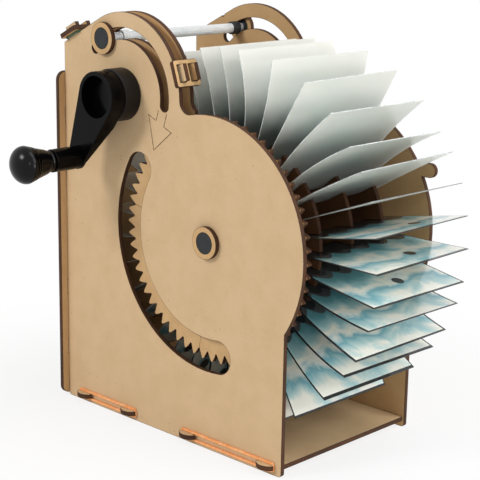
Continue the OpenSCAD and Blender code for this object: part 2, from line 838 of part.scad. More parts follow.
// Each card is flat in the discs' slots
module picture_cards() {
    color("whitesmoke") for (c = [0:card_count - 1]) {
        dir = 360 * c / card_count;
        curl = card_curl(dir);
        flat_r = curl == 0 ? card_tip_r : card_bend_r;
        upright(card_y, card_w) translate(axle) rotate(dir)
            translate([card_root_r, -card_t / 2]) square([flat_r - card_root_r, card_t]);
        if (curl != 0) {
            upright(card_y, card_w) translate(axle) rotate(dir) card_curve(curl);
        }
    }
}

// The boss that keeps the crank off the panel
module crank_boss() {
    color(black) ring(crank, hub_back_y, boss_back_y, boss_d / 2, shaft_r + press_gap);
}

// The arm's outline: two circles and the straight sides that touch both
module arm_outline() {
    hub_r = hub_d / 2;
    end_r = post_d / 2 + post_step;
    lean = acos((hub_r - end_r) / arm_l);
    translate(crank) rotate(arm_dir) {
        circle(hub_r);
        translate([arm_l, 0]) circle(end_r);
        polygon([away([0, 0], hub_r - graze, -lean), away([arm_l, 0], end_r - graze, -lean),
            away([arm_l, 0], end_r - graze, lean), away([0, 0], hub_r - graze, lean)]);
    }
}

// The space that the arm keeps: its back leans forward from the hub to the post
module arm_wedge() {
    translate([crank[0], hub_front_y, crank[1]]) rotate([0, -arm_dir, 0])
        translate([0, 0, -hub_d]) linear_extrude(2 * hub_d)
            polygon([[-hub_d, -over], [arm_l + post_d, -over], [arm_l + post_d, arm_tip_t],
                [arm_l, arm_tip_t], [hub_d / 2, hub_l], [hub_d / 2, hub_l + over], [-hub_d, hub_l + over]]);
}

module crank_handle() {
    color(black) difference() {
        union() {
            intersection() {
                upright(hub_front_y, hub_l) arm_outline();
                arm_wedge();
            }
            bar(knob_axis, post_front_y, hub_front_y + over, post_d / 2);
        }
        bar(crank, hub_front_y - over, hub_back_y - recess_floor, recess_d / 2);
        bar(crank, shaft_end_y, hub_back_y + over, shaft_r + press_gap);
        bar(knob_axis, post_front_y - over, post_front_y + spindle_seat, spindle_d / 2 + press_gap);
    }
}

module crank_shaft() {
    color(steel) bar(crank, shaft_end_y, collar_y + sheet_t, shaft_r);
}

module crank_pinion() {
    color(wood) difference() {
        upright(gear_y) translate(crank) gear_outline(pinion_teeth, pinion_turn);
        bar(crank, gear_y - over, gear_out_y + over, shaft_r + press_gap);
    }
}

module crank_spacers() {
    color(wood) gear_spacers(crank, shaft_r + press_gap);
}

module crank_collar() {
    color(wood) ring(crank, collar_y, collar_y + sheet_t, spacer_r, shaft_r + press_gap);
}

module knob_spindle() {
    color(steel) bar(knob_axis, knob_back_y - spindle_reach, post_front_y + spindle_seat, spindle_d / 2);
}

// The knob flares from its neck to a domed end, with two grooves before the dome
module crank_knob() {
    neck_r = knob_neck_d / 2;
    wide_r = knob_d / 2;
    flare = (wide_r - neck_r) / knob_flare_l;
    dome_r = (wide_r * wide_r + knob_dome_l * knob_dome_l) / (2 * knob_dome_l);
    color(black) translate([knob_axis[0], knob_back_y, knob_axis[1]]) rotate([90, 0, 0]) difference() {
        union() {
            cylinder(h = knob_flare_l, r1 = neck_r, r2 = wide_r);
            intersection() {
                translate([0, 0, knob_flare_l + knob_dome_l - dome_r]) sphere(dome_r);
                translate([0, 0, knob_flare_l]) cylinder(h = dome_r, r = wide_r);
            }
        }
        for (i = [1, 2]) {
            groove_z = knob_flare_l - i * knob_groove_pitch;
            translate([0, 0, groove_z]) difference() {
                cylinder(h = knob_groove_w, r = wide_r + over);
                translate([0, 0, -over])
                    cylinder(h = knob_groove_w + 2 * over, r = neck_r + flare * groove_z - knob_groove_depth);
            }
        }
        translate([0, 0, -over]) cylinder(h = spindle_reach + over, r = spindle_d / 2 + run_gap);
    }
}

module idler_gear() {
    color(wood) difference() {
        upright(gear_y) translate(idler) gear_outline(idler_teeth, idler_turn);
        bar(idler, gear_y - over, gear_out_y + over, idler_pin_d / 2 + run_gap);
    }
}

module stop_rod() {
    color([0.93, 0.95, 0.96, 0.6]) bar(rod_place, plug_front_seat_y, ring_rear_y + plug_seat, rod_r);
}

// A black sleeve on the rod, next to the plate that it runs along
module rod_sleeve(y0) {
    color(black) ring(rod_place, y0, y0 + sleeve_l, sleeve_d / 2, rod_r + press_gap);
}

module rod_sleeve_front() { rod_sleeve(gear_plate_out_y + side_play); }
module rod_sleeve_rear() { rod_sleeve(rear_y - side_play - sleeve_l); }
module rod_ring_front() { end_ring(rod_place, ring_front_y); }
module rod_ring_rear() { end_ring(rod_place, ring_rear_y); }
module rod_plug_front() { end_plug(rod_place, ring_front_y, plug_front_seat_y, rod_r); }
module rod_plug_rear() { end_plug(rod_place, ring_rear_y, plug_rear_seat_y, rod_r); }

front_panel();
gear_plate();
rear_panel();
viewer_wall();
base_plate();
neck_buckle();
slope_buckle();
neck_band();
slope_band();
base_band_front_viewer_end();
base_band_front_card_end();
base_band_rear_viewer_end();
base_band_rear_card_end();
wall_band_front_lower();
wall_band_front_upper();
wall_band_rear_lower();
wall_band_rear_upper();
idler_pin();
idler_spacers();
gear_sector_top();
gear_sector_left();
gear_sector_bottom();
gear_sector_right();
gear_carrier();
card_disc_front();
card_disc_middle();
card_disc_rear();
drum_stay_upper_right();
drum_stay_upper_left();
drum_stay_lower_left();
drum_stay_lower_right();
drum_axle();
axle_spacer_front();
axle_spacer_rear();
axle_ring_front();
axle_ring_rear();
axle_plug_front();
axle_plug_rear();
picture_cards();
crank_boss();
crank_handle();
crank_shaft();
crank_pinion();
crank_spacers();
crank_collar();
knob_spindle();
crank_knob();
idler_gear();
stop_rod();
rod_sleeve_front();
rod_sleeve_rear();
rod_ring_front();
rod_ring_rear();
rod_plug_front();
rod_plug_rear();
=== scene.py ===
"""Looks for the hand-cranked flip-card viewer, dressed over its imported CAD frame.

Every piece is in metres in the part's own frame: X towards the cards, Y from the crank side to the far
side and Z up, with the origin in the middle of the crank-side panel's foot.
"""

import logging
import math
from collections.abc import Sequence
from dataclasses import dataclass, field
from enum import Enum

import bmesh
import bpy
from mathutils import Matrix, Vector

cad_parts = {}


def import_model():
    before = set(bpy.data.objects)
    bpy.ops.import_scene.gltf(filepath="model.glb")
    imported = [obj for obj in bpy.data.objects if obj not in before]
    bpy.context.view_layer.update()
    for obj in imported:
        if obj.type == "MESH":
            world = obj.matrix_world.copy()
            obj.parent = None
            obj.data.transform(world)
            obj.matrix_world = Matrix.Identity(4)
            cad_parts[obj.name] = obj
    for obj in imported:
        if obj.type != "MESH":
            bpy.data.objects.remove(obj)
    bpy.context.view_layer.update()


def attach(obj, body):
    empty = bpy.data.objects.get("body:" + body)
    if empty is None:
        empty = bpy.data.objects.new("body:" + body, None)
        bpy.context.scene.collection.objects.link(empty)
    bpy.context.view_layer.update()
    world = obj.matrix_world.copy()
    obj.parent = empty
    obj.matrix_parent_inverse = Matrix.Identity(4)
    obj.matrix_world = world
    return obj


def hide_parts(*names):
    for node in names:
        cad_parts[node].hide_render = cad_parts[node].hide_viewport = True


Node = bpy.types.Node
Socket = bpy.types.NodeSocket
Piece = bpy.types.Object
Shape = bmesh.types.BMesh

MM = 0.001
KNOB_AXIS = (-62.6942 * MM, 180.3863 * MM)
WHITE = (1.0, 1.0, 1.0, 1.0)
log = logging.getLogger("flip_card_viewer")


class Body(Enum):
    """The bodies that pieces ride on."""

    CASE = "case"
    DRUM = "drum"
    CRANK = "crank"
    KNOB = "knob"
    IDLER = "idler"
    FLICK_ROD = "flick_rod"


class Slot(Enum):
    """The record's material slots, one named for each made piece."""

    FIBREBOARD = "fibreboard"
    BLACK_PLASTIC = "black_plastic"
    DARK_PLASTIC = "dark_plastic"
    CLEAR_PLASTIC = "clear_plastic"
    CARD = "card"
    ORANGE_RUBBER = "orange_rubber"
    GREEN_RUBBER = "green_rubber"


class Effect(Enum):
    """Surface effects that several finishes share, each one a shader node group."""

    SHEET_FIBRES = "sheet_fibres"
    LASER_CUT = "laser_cut"
    HANDLING_MARKS = "handling_marks"
    MOULDED_SKIN = "moulded_skin"


def put(name: str, data: bpy.types.ID) -> Piece:
    """Puts an object into the scene.

    Args:
        name: Its name.
        data: Its mesh, lamp or camera.

    Returns:
        The object.
    """
    made = bpy.data.objects.new(name, data)
    bpy.context.scene.collection.objects.link(made)
    return made


def bake(name: str, made: Shape) -> bpy.types.Mesh:
    """Finishes a mesh and frees what it was built in.

    Args:
        name: The mesh's name.
        made: What it was built in.

    Returns:
        The mesh.
    """
    mesh = bpy.data.meshes.new(name)
    made.to_mesh(mesh)
    made.free()
    return mesh


def round_off(made: Shape, edges: Sequence[bmesh.types.BMEdge], width: float, steps: int) -> None:
    """Rounds some of a mesh's edges.

    Args:
        made: The mesh.
        edges: The edges.
        width: How far each rounding reaches.
        steps: How many facets it has.
    """
    bmesh.ops.bevel(
        made, geom=edges, offset=width, offset_type="OFFSET", segments=steps, profile=0.5,
        affect="EDGES", material=-1, clamp_overlap=True,
    )


@dataclass(frozen=True)
class Tint:
    """A colour in eight-bit sRGB numbers, as it should look in a plain render."""

    red: int
    green: int
    blue: int

    def linear(self) -> tuple[float, float, float, float]:
        """Gives the colour as the linear RGBA that a socket takes.

        Returns:
            Red, green, blue and an alpha of 1.
        """
        shares = [value / 255.0 for value in (self.red, self.green, self.blue)]
        red, green, blue = [s / 12.92 if s <= 0.04045 else ((s + 0.055) / 1.055) ** 2.4 for s in shares]
        return red, green, blue, 1.0


class Board:
    """Places shader nodes in one tree and wires them up."""

    mix_inputs: tuple[int, int, int] = (0, 6, 7)
    mix_output: int = 2

    def __init__(self, tree: bpy.types.NodeTree) -> None:
        """Takes the tree that the nodes go into.

        Args:
            tree: A material's node tree or a node group.
        """
        self.tree = tree

    @classmethod
    def fresh(cls, owner: bpy.types.Material | bpy.types.World) -> "Board":
        """Starts an empty board on a material or a world.

        Args:
            owner: The material or world.

        Returns:
            Its board.
        """
        owner.use_nodes = True
        owner.node_tree.nodes.clear()
        return cls(owner.node_tree)

    def place(self, kind: str, **settings: object) -> Node:
        """Adds one node and sets its properties.

        Args:
            kind: The node's Blender type name.
            settings: Properties to set on it.

        Returns:
            The new node.
        """
        node = self.tree.nodes.new(kind)
        for key, value in settings.items():
            setattr(node, key, value)
        return node

    def feed(self, socket: Socket, value: object) -> None:
        """Wires a socket into an input, or writes a constant on it.

        Args:
            socket: The input.
            value: Another node's output, a number, a tuple or a Tint.
        """
        if isinstance(value, Socket):
            self.tree.links.new(value, socket)
        elif isinstance(value, Tint):
            socket.default_value = value.linear()
        else:
            socket.default_value = value

    def fill(self, node: Node, values: dict[str, object]) -> None:
        """Feeds several inputs of one node.

        Args:
            node: The node.
            values: What its inputs get, by name.
        """
        for key, value in values.items():
            self.feed(node.inputs[key], value)

    def calc(self, operation: str, *values: object) -> Socket:
        """Does one sum on numbers.

        Args:
            operation: The Math node's operation.
            values: Its inputs in order.

        Returns:
            The result.
        """
        node = self.place("ShaderNodeMath", operation=operation)
        for socket, value in zip(node.inputs, values):
            self.feed(socket, value)
        return node.outputs[0]

    def plus(self, first: object, second: object) -> Socket:
        """Adds two numbers.

        Args:
            first: One of them.
            second: The other.

        Returns:
            The sum.
        """
        return self.calc("ADD", first, second)

    def minus(self, first: object, second: object) -> Socket:
        """Takes one number from another.

        Args:
            first: What it is taken from.
            second: What is taken.

        Returns:
            The difference.
        """
        return self.calc("SUBTRACT", first, second)

    def times(self, first: object, second: object) -> Socket:
        """Multiplies two numbers.

        Args:
            first: One of them.
            second: The other.

        Returns:
            The product.
        """
        return self.calc("MULTIPLY", first, second)

    def off_middle(self, value: object) -> Socket:
        """Gives how far a value is from 0.5.

        Args:
            value: The value.

        Returns:
            The distance, which is never below 0.
        """
        return self.calc("ABSOLUTE", self.minus(value, 0.5))

    def span(
        self, value: object, low: object, high: object, to_low: float = 0.0, to_high: float = 1.0
    ) -> Socket:
        """Maps a range of values smoothly onto another, clamped at both ends.

        Args:
            value: What is mapped.
            low: Where the range starts.
            high: Where it ends.
            to_low: What the start becomes.
            to_high: What the end becomes.

        Returns:
            The mapped value.
        """
        node = self.place("ShaderNodeMapRange", interpolation_type="SMOOTHSTEP")
        for socket, given in zip(node.inputs, (value, low, high, to_low, to_high)):
            self.feed(socket, given)
        return node.outputs[0]

    def blend(self, share: object, first: object, second: object) -> Socket:
        """Mixes two colours.

        Args:
            share: 0 for the first colour, 1 for the second.
            first: A colour or a Tint.
            second: A colour or a Tint.

        Returns:
            The mixed colour.
        """
        node = self.place("ShaderNodeMix", data_type="RGBA")
        for number, value in zip(self.mix_inputs, (share, first, second)):
            self.feed(node.inputs[number], value)
        return node.outputs[self.mix_output]

    def noise(self, where: object, scale: object, detail: float = 2.0, distortion: float = 0.0) -> Socket:
        """Adds a noise pattern.

        Args:
            where: The coordinates.
            scale: Features per metre, roughly.
            detail: How many finer layers it has.
            distortion: How much it curls.

        Returns:
            Values around 0.5.
        """
        node = self.place("ShaderNodeTexNoise")
        self.fill(node, {"Vector": where, "Scale": scale, "Detail": detail, "Distortion": distortion})
        return node.outputs["Fac"]

    def stretched(self, where: object, scale: tuple[float, ...], turn: tuple[float, ...]) -> Socket:
        """Stretches and turns coordinates.

        Args:
            where: The coordinates.
            scale: The factor along each axis.
            turn: The turn about each axis, in radians.

        Returns:
            The new coordinates.
        """
        node = self.place("ShaderNodeMapping")
        self.fill(node, {"Vector": where, "Scale": scale, "Rotation": turn})
        return node.outputs[0]

    def ramp(self, value: object, stops: Sequence[tuple[float, Tint]]) -> Socket:
        """Turns a value into a colour.

        Args:
            value: The value, from 0 to 1.
            stops: Places from 0 to 1 and their colours.

        Returns:
            The colour.
        """
        node = self.place("ShaderNodeValToRGB")
        self.feed(node.inputs[0], value)
        points = node.color_ramp.elements
        while len(points) < len(stops):
            points.new(0.5)
        for point, (place, tint) in zip(points, stops):
            point.position = place
            point.color = tint.linear()
        return node.outputs[0]

    def bump(self, height: object, strength: float, distance: float) -> Socket:
        """Turns a height into a normal.

        Args:
            height: The height, from 0 to 1.
            strength: How much of it shows.
            distance: What a height of 1 stands for, in metres.

        Returns:
            The normal.
        """
        node = self.place("ShaderNodeBump")
        self.fill(node, {"Strength": strength, "Distance": distance, "Height": height})
        return node.outputs[0]

    def red(self, colour: Socket) -> Socket:
        """Takes the red channel of a colour.

        Args:
            colour: The colour.

        Returns:
            Its red.
        """
        node = self.place("ShaderNodeSeparateColor")
        self.feed(node.inputs[0], colour)
        return node.outputs[0]

    def effect(self, effect: Effect, **values: object) -> bpy.types.NodeOutputs:
        """Places a shared effect.

        Args:
            effect: Which one.
            values: Its inputs by name.

        Returns:
            The group's outputs, which are read by name.
        """
        node = self.place("ShaderNodeGroup", node_tree=bpy.data.node_groups[effect.value])
        self.fill(node, values)
        return node.outputs


@dataclass(frozen=True)
class EffectShelf:
    """Builds each shared effect once. Its sizes, patches and cells are in features per metre."""

    fibre_size: float = 1150.0
    thread_size: float = 430.0
    thread_patch: float = 140.0
    fleck_cells: float = 150.0
    wobble_size: float = 620.0
    char_patch: float = 55.0
    scratch_size: float = 34.0
    scratch_stretch: tuple[float, float, float] = (1.0, 1.0, 9.0)
    scratch_turn: tuple[float, float, float] = (0.0, 0.5, 0.0)
    scratch_patch: float = 31.0
    gloss_patch: float = 85.0
    mottle_share: float = 0.34
    fibre_share: float = 0.5
    thread_share: float = 0.3
    fibre_height: float = 0.7
    rim_char: float = 0.45
    patch_char: float = 0.5

    def build(self) -> None:
        """Makes all the groups."""
        self.sheet_fibres()
        self.laser_cut()
        self.handling_marks()
        self.moulded_skin()

    def start(
        self, effect: Effect, takes: dict[str, float], gives: Sequence[str]
    ) -> tuple[Board, Node, Node]:
        """Starts a group that works on a position.

        Args:
            effect: Which effect it is.
            takes: Number inputs and their defaults.
            gives: Number outputs.

        Returns:
            The board, the group's input node and its output node.
        """
        tree = bpy.data.node_groups.new(effect.value, "ShaderNodeTree")
        tree.interface.new_socket("Position", in_out="INPUT", socket_type="NodeSocketVector")
        for name, default in takes.items():
            socket = tree.interface.new_socket(name, in_out="INPUT", socket_type="NodeSocketFloat")
            socket.default_value = default
        for name in gives:
            tree.interface.new_socket(name, in_out="OUTPUT", socket_type="NodeSocketFloat")
        board = Board(tree)
        return board, board.place("NodeGroupInput"), board.place("NodeGroupOutput")

    def sheet_fibres(self) -> None:
        """Pressed wood fibre: a soft mottle, short curled threads and sparse dark flecks."""
        takes = {"Mottle": 60.0, "Flecks": 0.3}
        board, got, out = self.start(Effect.SHEET_FIBRES, takes, ("Tone", "Fleck", "Height"))
        where = got.outputs["Position"]
        mottle = board.span(board.noise(where, got.outputs["Mottle"], 4.0), 0.3, 0.72)
        fine = board.noise(where, self.fibre_size, 2.0)
        curl = board.off_middle(board.noise(where, self.thread_size, 1.0, 1.6))
        patch = board.span(board.noise(where, self.thread_patch), 0.48, 0.66)
        thread = board.times(board.times(board.span(curl, 0.045, 0.0), patch), self.thread_share)
        tone = board.plus(board.times(mottle, self.mottle_share), board.times(fine, self.fibre_share))
        cells = board.place("ShaderNodeTexVoronoi", feature="F1")
        board.fill(cells, {"Vector": where, "Scale": self.fleck_cells})
        picked = board.calc("LESS_THAN", board.red(cells.outputs["Color"]), got.outputs["Flecks"])
        board.fill(out, {
            "Tone": board.plus(tone, thread),
            "Fleck": board.times(picked, board.span(cells.outputs["Distance"], 0.075, 0.03)),
            "Height": board.plus(board.times(fine, self.fibre_height), thread),
        })

    def laser_cut(self) -> None:
        """A burnt cut: brown walls, rims that are almost black, and a thin haze on the face beside them."""
        board, got, out = self.start(Effect.LASER_CUT, {"Depth": 0.0, "Scorch": 0.0}, ("Burn", "Char"))
        wobble = board.noise(got.outputs["Position"], self.wobble_size, 3.0)
        patches = board.noise(got.outputs["Position"], self.char_patch, 2.0)
        burn = board.span(got.outputs["Scorch"], board.span(wobble, 0.3, 0.7, 0.12, 0.5), 0.98)
        rim = board.span(board.calc("ABSOLUTE", got.outputs["Depth"]), 0.35, 1.0)
        uneven = board.plus(board.times(wobble, 0.5), board.times(patches, 0.7))
        patchy = board.span(uneven, 0.42, 0.82, 0.0, self.patch_char)
        char = board.plus(board.times(rim, self.rim_char), patchy)
        board.fill(out, {"Burn": burn, "Char": board.times(burn, char)})

    def handling_marks(self) -> None:
        """What hands leave: broad smudges and a few hair-thin scratches."""
        board, got, out = self.start(Effect.HANDLING_MARKS, {"Broad": 22.0}, ("Smudge", "Scratch"))
        where = got.outputs["Position"]
        smudge = board.span(board.noise(where, got.outputs["Broad"], 3.0), 0.46, 0.74)
        along = board.stretched(where, self.scratch_stretch, self.scratch_turn)
        line = board.span(board.off_middle(board.noise(along, self.scratch_size, 2.0, 0.4)), 0.006, 0.0)
        patch = board.span(board.noise(where, self.scratch_patch), 0.6, 0.68)
        board.fill(out, {"Smudge": smudge, "Scratch": board.times(line, patch)})

    def moulded_skin(self) -> None:
        """A moulded skin: a fine grain and slow patches of more and less gloss."""
        board, got, out = self.start(Effect.MOULDED_SKIN, {"Grain": 1700.0}, ("Gloss", "Height"))
        where = got.outputs["Position"]
        gloss = board.span(board.noise(where, self.gloss_patch, 3.0), 0.34, 0.68)
        board.fill(out, {"Gloss": gloss, "Height": board.noise(where, got.outputs["Grain"], 2.0)})


class Finish:
    """A surface finish, made into one material the first time that it is asked for."""

    name: str

    def material(self) -> bpy.types.Material:
        """Gives the finish's material.

        Returns:
            The material, made if it isn't there yet.
        """
        found = bpy.data.materials.get(self.name)
        if found:
            return found
        made = bpy.data.materials.new(self.name)
        board = Board.fresh(made)
        skin = board.place("ShaderNodeBsdfPrincipled")
        board.feed(board.place("ShaderNodeOutputMaterial").inputs["Surface"], skin.outputs[0])
        self.paint(board, skin, board.place("ShaderNodeTexCoord").outputs["Object"])
        return made

    def paint(self, board: Board, skin: Node, where: Socket) -> None:
        """Wires the finish into its shader.

        Args:
            board: The material's board.
            skin: The Principled node.
            where: Object coordinates.
        """
        raise NotImplementedError


@dataclass(frozen=True)
class Fibreboard(Finish):
    """Raw laser-cut fibreboard with burnt cuts."""

    name: str
    pale: Tint
    deep: Tint
    fleck: Tint = Tint(122, 88, 54)
    burnt: Tint = Tint(90, 56, 33)
    char: Tint = Tint(30, 19, 12)
    mottle: float = 60.0
    smudge_share: float = 0.14
    fleck_share: float = 0.75
    scratch_share: float = 0.3
    wall_share: float = 0.5
    dull: float = 0.82
    smudge_gloss: float = 0.1
    char_gloss: float = 0.16
    shine: float = 0.28
    relief: float = 0.22
    relief_depth: float = 0.12 * MM

    def paint(self, board: Board, skin: Node, where: Socket) -> None:
        """Lays fibres, flecks, marks and burns on the sheet.

        Args:
            board: The material's board.
            skin: The Principled node.
            where: Object coordinates.
        """
        depth = board.place("ShaderNodeAttribute", attribute_name="depth").outputs["Fac"]
        scorch = board.place("ShaderNodeAttribute", attribute_name="scorch").outputs["Fac"]
        fibres = board.effect(Effect.SHEET_FIBRES, Position=where, Mottle=self.mottle)
        cut = board.effect(Effect.LASER_CUT, Position=where, Depth=depth, Scorch=scorch)
        marks = board.effect(Effect.HANDLING_MARKS, Position=where)
        face = board.blend(fibres["Tone"], self.pale, self.deep)
        face = board.blend(board.times(marks["Smudge"], self.smudge_share), face, self.deep)
        face = board.blend(board.times(fibres["Fleck"], self.fleck_share), face, self.fleck)
        face = board.blend(board.times(marks["Scratch"], self.scratch_share), face, self.fleck)
        wall = board.blend(board.times(fibres["Tone"], self.wall_share), self.burnt, self.char)
        wall = board.blend(cut["Char"], wall, self.char)
        rough = board.minus(self.dull, board.times(marks["Smudge"], self.smudge_gloss))
        board.fill(skin, {
            "Base Color": board.blend(cut["Burn"], face, wall),
            "Roughness": board.minus(rough, board.times(cut["Char"], self.char_gloss)),
            "Specular IOR Level": self.shine,
            "Normal": board.bump(fibres["Height"], self.relief, self.relief_depth),
        })


@dataclass(frozen=True)
class Moulded(Finish):
    """Moulded plastic."""

    name: str
    base: Tint
    rubbed: Tint
    glossy: float
    dull: float
    shine: float
    grain: float = 1700.0
    relief: float = 0.05
    relief_depth: float = 0.06 * MM
    smudge_size: float = 48.0
    smudge_share: float = 0.5
    worn_dull: float = 0.12

    def paint(self, board: Board, skin: Node, where: Socket) -> None:
        """Lays a moulded skin with smudges and scratches.

        Args:
            board: The material's board.
            skin: The Principled node.
            where: Object coordinates.
        """
        moulded = board.effect(Effect.MOULDED_SKIN, Position=where, Grain=self.grain)
        marks = board.effect(Effect.HANDLING_MARKS, Position=where, Broad=self.smudge_size)
        smudge = board.times(marks["Smudge"], self.smudge_share)
        worn = board.calc("MAXIMUM", smudge, marks["Scratch"])
        rough = board.span(moulded["Gloss"], 0.0, 1.0, self.glossy, self.dull)
        board.fill(skin, {
            "Base Color": board.blend(worn, self.base, self.rubbed),
            "Roughness": board.plus(rough, board.times(worn, self.worn_dull)),
            "Specular IOR Level": self.shine,
            "Normal": board.bump(moulded["Height"], self.relief, self.relief_depth),
        })


@dataclass(frozen=True)
class Rubber(Finish):
    """A stretched rubber band."""

    name: str
    base: Tint
    chalky: Tint
    grain: float = 2200.0
    bloom_size: float = 240.0
    bloom_share: float = 0.5
    glossy: float = 0.48
    dull: float = 0.68
    glow: float = 0.12
    glow_reach: tuple[float, float, float] = (0.4 * MM, 0.2 * MM, 0.1 * MM)
    relief: float = 0.12
    relief_depth: float = 0.08 * MM

    def paint(self, board: Board, skin: Node, where: Socket) -> None:
        """Lays a dusty bloom on the rubber.

        Args:
            board: The material's board.
            skin: The Principled node.
            where: Object coordinates.
        """
        moulded = board.effect(Effect.MOULDED_SKIN, Position=where, Grain=self.grain)
        bloom = board.span(board.noise(where, self.bloom_size, 3.0), 0.42, 0.72)
        board.fill(skin, {
            "Base Color": board.blend(board.times(bloom, self.bloom_share), self.base, self.chalky),
            "Roughness": board.span(moulded["Gloss"], 0.0, 1.0, self.glossy, self.dull),
            "Subsurface Weight": self.glow,
            "Subsurface Radius": self.glow_reach,
            "Normal": board.bump(moulded["Height"], self.relief, self.relief_depth),
        })


@dataclass(frozen=True)
class ClearRod(Finish):
    """Extruded rod of clear plastic, a little milky from handling."""

    name: str
    base: Tint
    milky: Tint
    smudge_size: float = 70.0
    line_stretch: tuple[float, float, float] = (60.0, 1.0, 60.0)
    line_size: float = 26.0
    glossy: float = 0.22
    dull: float = 0.3
    clear: float = 0.3
    ior: float = 1.49
    relief: float = 0.02
    relief_depth: float = 0.02 * MM

    def paint(self, board: Board, skin: Node, where: Socket) -> None:
        """Lays drawn lines and milky patches on the clear rod.

        Args:
            board: The material's board.
            skin: The Principled node.
            where: Object coordinates.
        """
        marks = board.effect(Effect.HANDLING_MARKS, Position=where, Broad=self.smudge_size)
        along = board.stretched(where, self.line_stretch, (0.0, 0.0, 0.0))
        drawn = board.noise(along, self.line_size, 2.0)
        board.fill(skin, {
            "Base Color": board.blend(marks["Smudge"], self.base, self.milky),
            "Roughness": board.span(drawn, 0.3, 0.7, self.glossy, self.dull),
            "Transmission Weight": self.clear,
            "IOR": self.ior,
            "Normal": board.bump(drawn, self.relief, self.relief_depth),
        })


@dataclass(frozen=True)
class Steel(Finish):
    """Drawn steel bar."""

    name: str
    base: Tint
    oxide: Tint
    line_stretch: tuple[float, float, float] = (40.0, 1.0, 40.0)
    line_size: float = 60.0
    patch_size: float = 210.0
    oxide_share: float = 0.5
    glossy: float = 0.24
    dull: float = 0.46
    relief: float = 0.08
    relief_depth: float = 0.04 * MM

    def paint(self, board: Board, skin: Node, where: Socket) -> None:
        """Lays drawn lines and a little oxide on the steel.

        Args:
            board: The material's board.
            skin: The Principled node.
            where: Object coordinates.
        """
        along = board.stretched(where, self.line_stretch, (0.0, 0.0, 0.0))
        drawn = board.noise(along, self.line_size, 3.0)
        patch = board.span(board.noise(where, self.patch_size, 3.0), 0.52, 0.78)
        board.fill(skin, {
            "Base Color": board.blend(board.times(patch, self.oxide_share), self.base, self.oxide),
            "Metallic": 1.0,
            "Roughness": board.span(drawn, 0.3, 0.7, self.glossy, self.dull),
            "Normal": board.bump(drawn, self.relief, self.relief_depth),
        })


@dataclass(frozen=True)
class Wave:
    """A sine wave on a card.

    Its turns are how many waves one unit holds, and its shift is where the wave starts, in waves. It
    swings about its level by its height. An arched wave has its lower half folded up.
    """

    turns: float
    shift: float
    height: float
    level: float = 0.0
    arched: bool = False


@dataclass(frozen=True)
class CardFinish(Finish):
    """What the surfaces of a card share: its map, its number in the row and its faint grain."""

    grain: float = 900.0
    relief: float = 0.03
    relief_depth: float = 0.05 * MM

    def card_map(self, board: Board) -> tuple[Socket, Socket, Socket]:
        """Reads where a point is on its card.

        Args:
            board: The material's board.

        Returns:
            The way from root to tip, the way across, and the card's turn in the row, each from 0 to 1.
        """
        parts = board.place("ShaderNodeSeparateXYZ")
        board.feed(parts.inputs[0], board.place("ShaderNodeUVMap", uv_map="card").outputs[0])
        turn = board.place("ShaderNodeAttribute", attribute_name="turn").outputs["Fac"]
        return parts.outputs[0], parts.outputs[1], turn

    def drift(self, board: Board, spot: Sequence[Socket], size: float, detail: float, curl: float) -> Socket:
        """Makes slow patches that differ from card to card.

        Args:
            board: The material's board.
            spot: The card map.
            size: How many patches a card holds, roughly.
            detail: How many finer layers they have.
            curl: How much they curl.

        Returns:
            Values around 0.
        """
        place = board.place("ShaderNodeCombineXYZ")
        for socket, value in zip(place.inputs, spot):
            board.feed(socket, value)
        return board.minus(board.noise(place.outputs[0], size, detail, curl), 0.5)

    def swing(self, board: Board, value: object, wave: Wave) -> Socket:
        """Runs along a wave.

        Args:
            board: The material's board.
            value: What runs along it.
            wave: The wave.

        Returns:
            The wave's values there.
        """
        angle = board.calc("MULTIPLY_ADD", value, wave.turns * math.tau, wave.shift * math.tau)
        sine = board.calc("SINE", angle)
        if wave.arched:
            sine = board.calc("ABSOLUTE", sine)
        return board.calc("MULTIPLY_ADD", sine, wave.height, wave.level)

    def skin_grain(self, board: Board, where: Socket) -> Socket:
        """Makes the card's faint grain.

        Args:
            board: The material's board.
            where: Object coordinates.

        Returns:
            The normal.
        """
        return board.bump(board.noise(where, self.grain, 1.0), self.relief, self.relief_depth)


